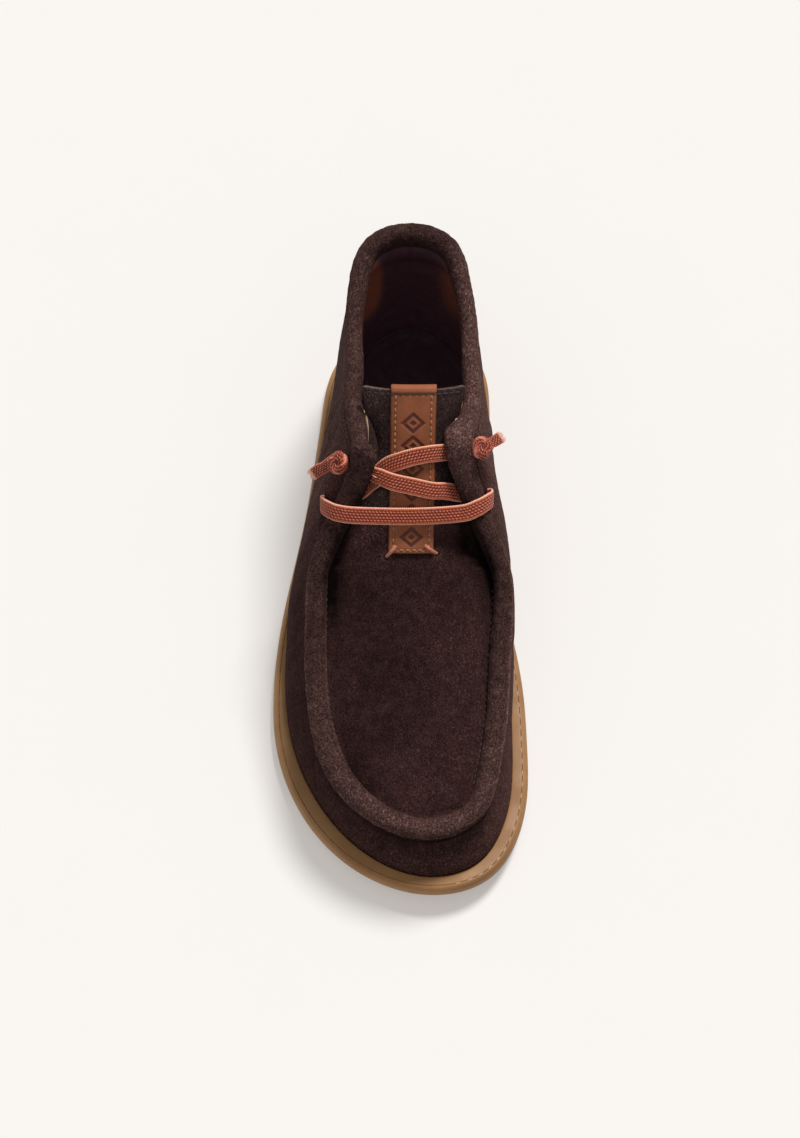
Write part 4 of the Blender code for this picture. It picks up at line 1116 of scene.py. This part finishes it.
def make_roll():
    """The rolled edge round apron, facings and collar: a row for each angle, a column for each of the ring's."""
    ring, bump = fine_ring, fine_ring.bump
    start = -ring.tuck - 32
    angle = start + column_of(np.linspace(0, 1, 62)) * (ROLL_END + 22 - start)
    left, right = bump("tip_outer", -0.02, 0.34), bump("tip_inner", 0.30, 0.42)
    tips = left + right
    plain = roll_at(ring, angle)
    grow = (
        0.35 * left * np.sin(np.radians(np.clip(angle, 0, 180))) + 1.9 * right * bell(angle - 175, 38)
        + 0.9 * bump("little_toe", -0.3, 2.0) * np.clip(np.cos(np.radians(angle)), 0, 1)
        + 0.22 * noise(plain, 16, 11) + 0.10 * noise(plain, 5, 12) + nap(plain, 0.26 + 0.3 * tips)
    )
    # Paler bands with more pale fibres: along the roll's outer shoulder beside the apron, and a thin line on its inner
    # edge by the outer side of the toe.
    pale_lines = bell(angle - 28, 20) * (1.7 + 0.8 * noise(roll_at(ring, angle, grow), 14, 21))
    pale_lines = pale_lines + 1.1 * bell(angle - 172, 12) * bump("toe_side_outer", -0.4, 2.6)
    on_apron = ease(ring.rib, 8.5, 10.0) * (1 - ease(ring.rib, 20.0, 21.0))
    toe = bump("toe_tip", -0.3, 5.5)
    throat = bump("facing_low_outer", 0.5, 2.6) + bump("throat_inner", 0.3, 2.6)
    fold = bump("toe_tip", 0.35, 1.2) * bell(angle - 30, 7)
    # tone, higher for paler: painted highlight along the crest, strongest at the toe; painted light on the collar at
    # both ankles; painted shadow on the inner side at the throat, in the fold at the toe, low on the inner side and
    # under the tuck of the outer side. The facings' tips are paler.
    tone = (
        pale_lines * on_apron * (1 - 0.7 * toe) + (0.02 + 0.85 * toe) * bell(angle - 95, 60) + 0.75 * tips
        + 0.45 * bump("ankle_outer", -0.2, 3.6) + 1.15 * bump("ankle_inner", -0.2, 4.2)
        - 0.9 * throat * ease(angle, 118, 160) - 1.2 * fold
        - 0.35 * ease(angle, 190, 225) - 0.3 * (1 - ease(angle, -ring.tuck - 12, -ring.tuck + 6))
    )
    points = roll_at(ring, angle, grow - 0.5 * fold)
    # Along each lip's cut edge the roll dips, with painted shade in the dip.
    for route in lip_routes():
        away, along = from_route(points, route)
        fade = np.sin(np.pi * along) ** 0.5
        points = points - UP * (0.8 * bell(away, 0.7) * fade)[..., None]
        tone = tone - 0.5 * bell(away, 0.9) * fade
    # painted shade on the roll's closed underside
    under = [points[-1] * (1 - k) + points[0] * k - 0.8 * UP for k in (0.3, 0.7)]
    skin = Skin()
    over = skin.grid(points, closed=True, tone=tone)
    below = skin.grid(np.stack(under), closed=True, tone=-0.4)
    skin.bridge(over[-1], below[0])
    skin.bridge(below[-1], over[0])
    finish(skin.make("upper_rolled_edge", SUEDE_ROLL), "suede")


# The inner layer of each facing, which shows beside the collar as a lip with a pale cut edge: place
# along the ring in ribs from the named one, angle of its cut edge, its lift at that edge and inwards.
LIPS = {
    "outer": ("quarter_outer", (
        (-0.15, 178, 0.1, 0.0), (0.08, 158, 0.8, 0.6), (0.33, 138, 0.9, 0.7), (0.58, 122, 0.9, 0.5),
        (0.8, 113, 0.8, 0.4), (1.0, 108, 0.3, 0.2), (1.12, 106, -0.2, -0.2),
    )),
    "inner": ("tip_inner", (
        (0.12, 156, -0.3, 1.0), (0.3, 159, 0.0, 2.2), (0.5, 164, 0.4, 2.6), (0.7, 170, 0.8, 2.9),
        (0.95, 176, 0.9, 2.5), (1.2, 182, 0.7, 1.3), (1.42, 186, 0.1, 0.0),
    )),
}
LIP_END = 222.0  # angle at which a lip ends inside the boot


def lip_stations(side):
    """Columns of the fine ring along a lip, and the angle and lifts of its edge at each."""
    rib, table = LIPS[side]
    places, *values = smooth(table, 12 * len(table)).T
    places = places + rib_index(rib)
    columns = np.arange(np.ceil(places[0] * fine_ring.per_rib), places[-1] * fine_ring.per_rib).astype(int)
    return columns, [np.interp(columns / fine_ring.per_rib, places, value) for value in values]


def roll_part(columns, angle, grow):
    """Points on the rolled edge at some columns of the fine ring, a row for each row of angles."""
    angles, grows = np.zeros((2, len(angle), fine_ring.count))
    angles[:, columns], grows[:, columns] = angle, grow
    return roll_at(fine_ring, angles, grows)[:, columns]


def lip_routes():
    """Where each lip's cut edge lies on the rolled edge."""
    for side in LIPS:
        columns, (angle, _, _) = lip_stations(side)
        yield roll_part(columns, angle[None] - 5, 0.0)[0, ::3]


def make_lips():
    across = column_of(np.linspace(0, 1, 26))
    tone = -0.2 + 0.3 * ease(across, 0.05, 0.5)
    for side in LIPS:
        columns, (angle, lift, swell) = lip_stations(side)
        angles = angle + (LIP_END - angle) * across
        rise = lift + (swell - lift) * ease(across, 0.05, 0.45)
        rise = rise - (swell + 0.4) * ease(across, 0.72, 1.0) - 0.25 * (1 - ease(across, 0, 0.08))
        high = roll_part(columns, angles, rise)
        high = high + facing(high) * nap(high, 0.22)[..., None]
        low = roll_part(columns, angles, -0.6)
        lip = slab(f"facing_lip_{side}", high, low, (SUEDE_TONGUE, LINING_EDGE), (0, 0, 1), tone)
        finish(lip, "suede")


def lining_row(share):
    """Rows on the inside of the lining, which leaves the wall near the top to meet the rolled edge."""
    angle = np.radians(ROLL_END)
    end = from_crest(ring, ring.half * np.cos(angle), ring.deep * (np.sin(angle) - 1) - WALL)
    return under_wall(share, WALL) + (end - under_wall(1.0, WALL)) * ease(share, 0.62, 1)[..., None, None]


def make_lining():
    shares = np.concatenate([np.linspace(0, 0.9, 26), np.linspace(0.93, 1, 5)])
    inner = lining_row(shares)
    inner = inner - wall_facing(ring, np.minimum(shares, 0.99)) * (0.35 * noise(inner, 18, 31))[..., None]
    x, y, z = np.moveaxis(inner, -1, 0)
    collar = ease(y, 60, 85)
    patch = 1.25 * ease(-x, 5.0, 13.5) + 0.42 * ease(x, 13.0, 22.0)
    # tone, higher for darker, paints shade: darkest toward the front and at the throat, lighter toward the heel but
    # darker again just below the collar; patch is a painted pool of light high on the inside of the outer (-X) wall by
    # the heel, with a weaker one on the inner side. The darker line at x = 4 is the back seam.
    tone = 1.0 - ease(y, 25, 60) * (1 - 0.45 * ease(column_of(shares), 0.78, 1.0))
    tone = tone - (1.5 * patch + 0.12 * ease(z, 30, 65)) * collar * ease(z, 22, 45)
    tone = tone + 0.2 * bell(x - 4.0, 0.5) * collar
    outer = under_wall(np.linspace(0.0, 0.97, 10), SUEDE + 0.1)
    skin = Skin()
    inn = skin.grid(np.concatenate([[foot_row(WALL)], inner]), closed=True, tone=np.vstack([tone[:1], tone]))
    out = skin.grid(np.concatenate([[foot_row(SUEDE + 0.1)], outer]), closed=True)
    # The tuck up into the rolled edge takes the full shade colour: painted shade.
    tuck = skin.grid(roll_at(ring, ROLL_END - 20.0, -0.8)[None], closed=True, tone=1.0)
    skin.bridge(inn[-1], tuck[0])
    skin.bridge(tuck[0], out[-1])
    skin.bridge(out[0], inn[0])
    finish(skin.make("upper_lining", LINING), "lining_leather")


# ---------------------------------------------------------------- apron and tongue
APRON_RIM = (ROLL_END + 6, -0.5)  # the apron's rim under the rolled edge: angle and growth
APRON_CORNERS = ("throat_outer", "little_toe", "big_toe_front", "throat_inner")
APRON_DEPTH = 1.9  # of its underside below its face
TONGUE_COLOUR_FROM = 2.15  # row of the tongue's table, under the lace bar, where its colour starts
# Each of the two ties at the strip's lower corners: its end on the strip and its end in the suede.
TIES = {
    "outer": ((-1.6, -5.7, 68.8), (-5.4, -8.5, 64.6)),
    "inner": ((9.9, -5.5, 68.9), (14.7, -7.2, 64.9)),
}
APRON_FOLDS = (  # hollows beside the ridge and faint creases across the toe: route, width, height and shade, which is painted: darker in the hollows and creases, paler on the two soft ridges
    (
        ((-18.5, 9.0, 68.0), (-21.8, 1.8, 62.5), (-25.5, -7.6, 59.0), (-27.4, -22.0, 53.3), (-27.6, -40.0, 47.2)),
        3.0, -0.8, -1.05,
    ),
    (
        ((19.0, 8.0, 71.0), (25.0, -1.5, 63.5), (31.5, -8.0, 59.8), (37.0, -16.0, 55.0), (38.0, -36.0, 46.5)),
        4.4, -0.9, -1.35,
    ),
    (((-18.0, -13.0, 60.5), (-20.0, -26.0, 54.0), (-21.0, -44.0, 46.0)), 2.6, 0.35, 0.15),
    (((26.0, -12.0, 61.0), (28.0, -28.0, 53.0), (29.5, -48.0, 44.5)), 2.6, 0.35, 0.15),
    (((-20.0, -44.0, 46.0), (0.0, -47.0, 47.5), (26.0, -49.0, 45.0)), 2.8, -0.22, -0.1),
    (((-16.0, -62.0, 41.0), (6.0, -60.0, 42.5), (30.0, -61.0, 41.0)), 2.6, -0.18, -0.1),
)


def apron_grid():
    """The apron's face, between the two sides of its rim, its front and an arch at the throat."""
    rim = roll_at(fine_ring, *APRON_RIM)
    first, outer_end, inner_end, last = map(fine_ring.column, APRON_CORNERS)
    outer, front, inner = rim[first : outer_end + 1], rim[outer_end : inner_end + 1], rim[inner_end : last + 1][::-1]
    across, down = column_of(np.linspace(0, 1, len(front))), np.linspace(0, 1, len(outer))[:, None, None]
    back = outer[0] * (1 - across) + inner[0] * across + THROAT_CROWN * arched(across) * THROAT_RISE
    ruled = (1 - across) * outer[:, None] + across * inner[:, None]
    grid = ruled + (1 - down) * (back - ruled[0]) + down * (front - ruled[-1])
    grid[..., 2] += APRON_CROWN * np.sin(np.pi * down[..., 0]) * arched(across[:, 0])
    return grid


def tongue_grid(throat):
    """The tongue's outside, from its free edge down to the throat, where it meets the apron."""
    across = np.linspace(0, 1, len(throat))
    rows = column_of(np.linspace(tongue.last, 0.0, 78)[:-1])
    _, _, left, right, _ = tongue.read(rows)
    spread = 1.6 * ease(rows, 4.2, 4.9)
    grid = tongue.at(rows, left - spread + (right - left + 2 * spread) * across)
    _, _, left, right, _ = tongue.read(0.0)
    start = tongue.at(0.0, left + (right - left) * across)
    return grid + (throat - start) * (1 - ease(rows, 0.0, 0.9))[..., None], rows[:, 0]


def make_apron():
    """Apron and tongue, which are one piece of suede, from the tongue's free edge to the toe."""
    front = apron_grid()
    back, rows = tongue_grid(front[0])
    grid = np.concatenate([back, front])[::-1]
    x, y, _ = np.moveaxis(grid, -1, 0)
    out = facing(grid)
    out = out * np.sign(out[..., 2:])
    across = np.linspace(0, 1, grid.shape[1])
    down = column_of([*np.linspace(0, 99, len(front)), *np.full(len(back), 99.0)])
    seam = np.minimum(np.minimum(across, 1 - across) * 60, down)
    on_apron = column_of(np.arange(len(grid)) < len(front))
    medial, past_toe = ease(x, 10, 30), 1 - ease(-y, 60, 95)
    ahead = ease(-y, -4, 16)
    lift = 0.30 * noise(grid, 26, 41) + 0.14 * noise(grid, 8, 42)
    lift = (
        lift * ease(seam, 0, 6) + nap(grid, 0.07) * ease(seam, 0, 2)
        + on_apron * (1.5 - 1.1 * medial * past_toe) * bell(seam, 2.4)
        - on_apron * 0.5 * medial * past_toe * bell(seam - 1.3, 0.5)
    )
    # tone, higher for paler: the noise is the suede's own patchiness; the rest is painted light and shade: painted
    # shadow along the apron's edges beside the ridges, more on the inner side, and deep at the throat; ahead of the
    # throat the apron is painted paler toward its inner side, behind it the tongue paler on its outer part.
    tone = (
        0.28 * noise(grid, 22, 43) - (0.1 + 0.5 * medial) * on_apron * bell(seam, 2.0) * past_toe
        - 0.9 * bell(seam, 2.2) * ease(y, -32, -8) * (1 - ease(y, 8, 16))
        + ahead * (0.45 * ease(x, -25, 35) - 0.12) + (1 - ahead) * (0.15 + 1.0 * ease(-x, -2, 10))
    )
    # Each fold's lift, with its painted shade or highlight.
    for route, width, height, shade in APRON_FOLDS:
        line = furrow(grid, route, width)
        lift = lift + height * line
        tone = tone + shade * line
    # Each tie dimples the suede: painted shade in the dimple, painted highlight on the ring round it.
    for _, low in TIES.values():
        away = np.linalg.norm(grid - np.array(low), axis=-1)
        lift = lift - 0.55 * bell(away, 0.9) + 0.2 * bell(away - 1.6, 0.6)
        tone = tone - 0.9 * bell(away, 0.8) + 0.9 * bell(away - 1.7, 0.7)
    high = grid + out * lift[..., None]
    long, wide = len(grid) - 1, grid.shape[1] - 1
    of_tongue = np.arange(long) > long - np.searchsorted(-rows, -TONGUE_COLOUR_FROM)
    slots = (np.where(of_tongue.repeat(wide), 3, 0), 1, np.repeat([0, 0, 2, 0], [wide, long, wide, long]))
    materials = (SUEDE_BROWN, LINING, SUEDE_EDGE, SUEDE_TONGUE)
    apron = slab("apron_and_tongue", high, grid - out * APRON_DEPTH, materials, slots, tone)
    finish(apron, "suede", "tongue")
    make_apron_seams(high[: len(front)].reshape(-1, 3), out[: len(front)].reshape(-1, 3))


def make_apron_seams(surface, ways):
    """Stitches along the apron's sides: faint on the outer one, dark in their groove on the inner."""
    rim = roll_at(fine_ring, *APRON_RIM)[:, :2]
    for side, first, last, inside, material, size in (
        ("outer", ("throat_outer", 0.5), ("toe_side_outer", 0.6), 0.9, SEAM_THREAD, (1.3, 0.36, 0.20)),
        ("inner", ("big_toe_front", 0.7), ("throat_inner", -0.2), 1.3, DARK_THREAD, (1.5, 0.45, 0.12)),
    ):
        level = rim - fine_ring.top_out * inside
        points, ups = on_surface(surface, ways, level[fine_ring.column(*first) : fine_ring.column(*last) : 6])
        stitches(f"apron_seam_{side}", points, ups, material, "suede", size, 2.6)


def on_surface(surface, ways, row):
    """Points of a surface under a row of level places, and the ways out of it there."""
    points, ups = [], []
    for place in row:
        away = np.linalg.norm(surface[:, :2] - place, axis=1)
        near = np.argsort(away)[:4]
        weight = 1 / (away[near] + 0.05)
        weight /= weight.sum()
        points.append([*place, weight @ surface[near, 2]])
        ups.append(weight @ ways[near])
    return np.array(points), unit(np.array(ups))


# ---------------------------------------------------------------- strip on the tongue
STRIP_LIFT = 0.15  # height of the strip's back above the tongue
STRIP_TOP = 1.45  # height of its face
STRIP_SEAM = 7.1  # its side seams' distance from its middle
HEM = 1.5  # how far its top seam lies below the fold over the tongue's edge
FOOT_SEAM = 1.5  # how far its bottom seam lies above its end
LOZENGE_PITCH = 9.2
LOZENGE_FIRST = 6.6  # middle of the first lozenge, from the strip's end


class Strip:
    """Places on the leather strip: u across it from its middle, v up it from its bottom end."""

    def __init__(self):
        self.rows = np.linspace(0, tongue.last, 600)
        gone = lengths(tongue.at(self.rows, self.middle(self.rows)))
        self.gone = gone - np.interp(STRIP_FROM, self.rows, gone)
        self.length = self.gone[-1]

    def middle(self, row):
        return np.interp(row, *zip(*STRIP_MIDDLE))

    def row(self, v):
        return np.interp(v, self.gone, self.rows)

    def at(self, u, v, lift):
        return tongue.at(self.row(v), self.middle(self.row(v)) + u, lift)


def lozenges(u, v, top):
    """Depth, from 0 to 1, of the strip's pressed pattern: a chain of lozenges with a dot in each."""
    place = (v - LOZENGE_FIRST) / LOZENGE_PITCH
    near = np.round(place)
    last = np.floor((top - LOZENGE_FIRST) / LOZENGE_PITCH)
    size = np.abs(u) / 4.5 + np.abs(place - near) * LOZENGE_PITCH / 4.1
    line = 1 - ease(3.0 * np.abs(size - 0.86), 0.45, 0.85)
    dot = 1 - ease(size, 0.24, 0.36)
    return np.maximum(line, dot) * ((near >= 0) & (near <= last))


def make_strip():
    """The strip, which runs up the tongue and is folded over its free edge."""
    strip = Strip()
    top, half = strip.length, STRIP_WIDTH / 2
    side = np.array([0.0, 0.12, 0.3])
    u = np.concatenate([side - half, np.linspace(0.6 - half, half - 0.6, 62), half - side[::-1]])[None]
    v = column_of([*side, *np.linspace(0.6, top, int(top / 0.3))])
    edge = np.minimum(half - np.abs(u), v)
    round_off = 0.35 * (1 - ease(edge, 0, 0.6))
    pressed = lozenges(u, v, top - HEM - 5)
    seam = bell(np.abs(u) - STRIP_SEAM, 0.4) * (v > FOOT_SEAM) * (v < top - HEM)
    seam = seam + bell(v - FOOT_SEAM, 0.4) * (np.abs(u) < STRIP_SEAM)
    hem = bell(v - top + HEM, 0.4)
    fold = ease(v, top - HEM + 0.2, top - HEM + 1.2)
    flat = strip.at(u, v, 0.0)
    lift = STRIP_TOP - round_off - 0.38 * pressed - 0.16 * seam - 0.25 * hem + 0.30 * fold + 0.05 * noise(flat, 5, 71)
    # tone, higher for darker: the pressed pattern, seams, hem and cut edges are darker and a band just inside the
    # edges paler; the fold over the tongue's edge is painted paler, a painted highlight.
    tone = (
        0.95 * pressed + 0.45 * seam + 0.75 * hem + 0.6 * (1 - ease(edge, 0, 0.8)) + 0.16 * noise(flat, 7, 72)
        - 0.2 * bell(edge - 0.9, 0.5) - 0.45 * fold
    )
    turn = np.linspace(0, np.pi, 14)[1:, None, None]
    way = np.cos(turn) * SLOPE_FACE + 0.76 * np.sin(turn) * SLOPE_UP
    behind = SLOPE_UP * np.linspace(0.3, 5, 12)[:, None, None]
    end = strip.at(u[0], top, 0.0) - SLOPE_FACE * 0.95
    thick = (TONGUE_THICK + 0.30 - round_off[-1])[:, None]
    high = np.concatenate([strip.at(u, v, lift), end + way * thick, end - SLOPE_FACE * thick - behind])
    low = np.concatenate([strip.at(u, v, STRIP_LIFT), end + way * 1.1, end - SLOPE_FACE * 1.1 - behind])
    # The part folded over the tongue's top is painted paler: painted highlight.
    tone = np.concatenate([tone, np.full((len(high) - len(tone), u.size), -0.3)])
    finish(slab("tongue_strip_leather", high, low, (STRIP,), tone=tone), "strip_leather", "tongue_strip")
    make_strip_seams(strip)
    make_ties()


def make_strip_seams(strip):
    """Stitches down the strip's sides and across its foot and hem, and beside it along the tongue's edge."""
    top, half, seam = strip.length, STRIP_WIDTH / 2, STRIP_SEAM
    plain, dark = (STRIP_THREAD, (1.75, 0.62, 0.30), 2.5), (DARK_THREAD, (1.9, 0.6, 0.15), 2.6)
    share = np.linspace(0, 1, 60)
    for name, start, end, lift, (material, size, pitch) in (
        ("left", (-seam, FOOT_SEAM + 1.2), (-seam, top - HEM - 1.2), STRIP_TOP, plain),
        ("right", (seam, FOOT_SEAM + 1.2), (seam, top - HEM - 1.2), STRIP_TOP, plain),
        ("foot", (1 - seam, FOOT_SEAM), (seam - 1, FOOT_SEAM), STRIP_TOP, plain),
        ("hem", (1.2 - half, top - HEM), (half - 1.2, top - HEM), STRIP_TOP - 0.05, dark),
    ):
        u, v = (one + (two - one) * share for one, two in zip(start, end))
        stitches(f"strip_stitches_{name}", strip.at(u, v, lift), SLOPE_FACE, material, "strip_leather", size, pitch)
    level = strip.row(top - 1.7)
    middle = strip.middle(level)
    _, _, left, right, _ = tongue.read(level)
    for name, ends in (("left", (left + 1.5, middle - half - 0.8)), ("right", (middle + half + 0.8, right - 1.5))):
        path = tongue.at(level, np.linspace(*ends, 30), 0.18)
        stitches(f"tongue_stitches_{name}", path, SLOPE_FACE, DARK_THREAD, "suede", (2.2, 0.55, 0.15), 3.0)


def make_ties():
    """The two short lace stitches that hold the strip's lower corners."""
    t = column_of(np.linspace(0, 1, 22))
    for name, (start, end) in TIES.items():
        line = np.array(start) * (1 - t) + np.array(end) * t + SLOPE_FACE * (1.1 * np.sin(np.pi * t) - 0.35)
        along = unit(np.gradient(line, axis=0))
        aside = unit(np.cross(along, SLOPE_FACE))
        skin = Skin()
        tube(skin, line, aside, np.cross(aside, along), 1.35, 0.95, sides=14)
        finish(skin.make(f"strip_tie_{name}", TIE, weld=True), "lace_weave")


def main():
    make_camera()
    make_light()
    make_floor()
    for name, facts in KNOTS.items():
        make_cord(name, *facts)
    make_lace()
    make_outsole()
    make_sole_stitches()
    make_insole()
    make_strip()
    make_lips()
    make_wall()
    make_roll()
    make_lining()
    make_apron()


main()
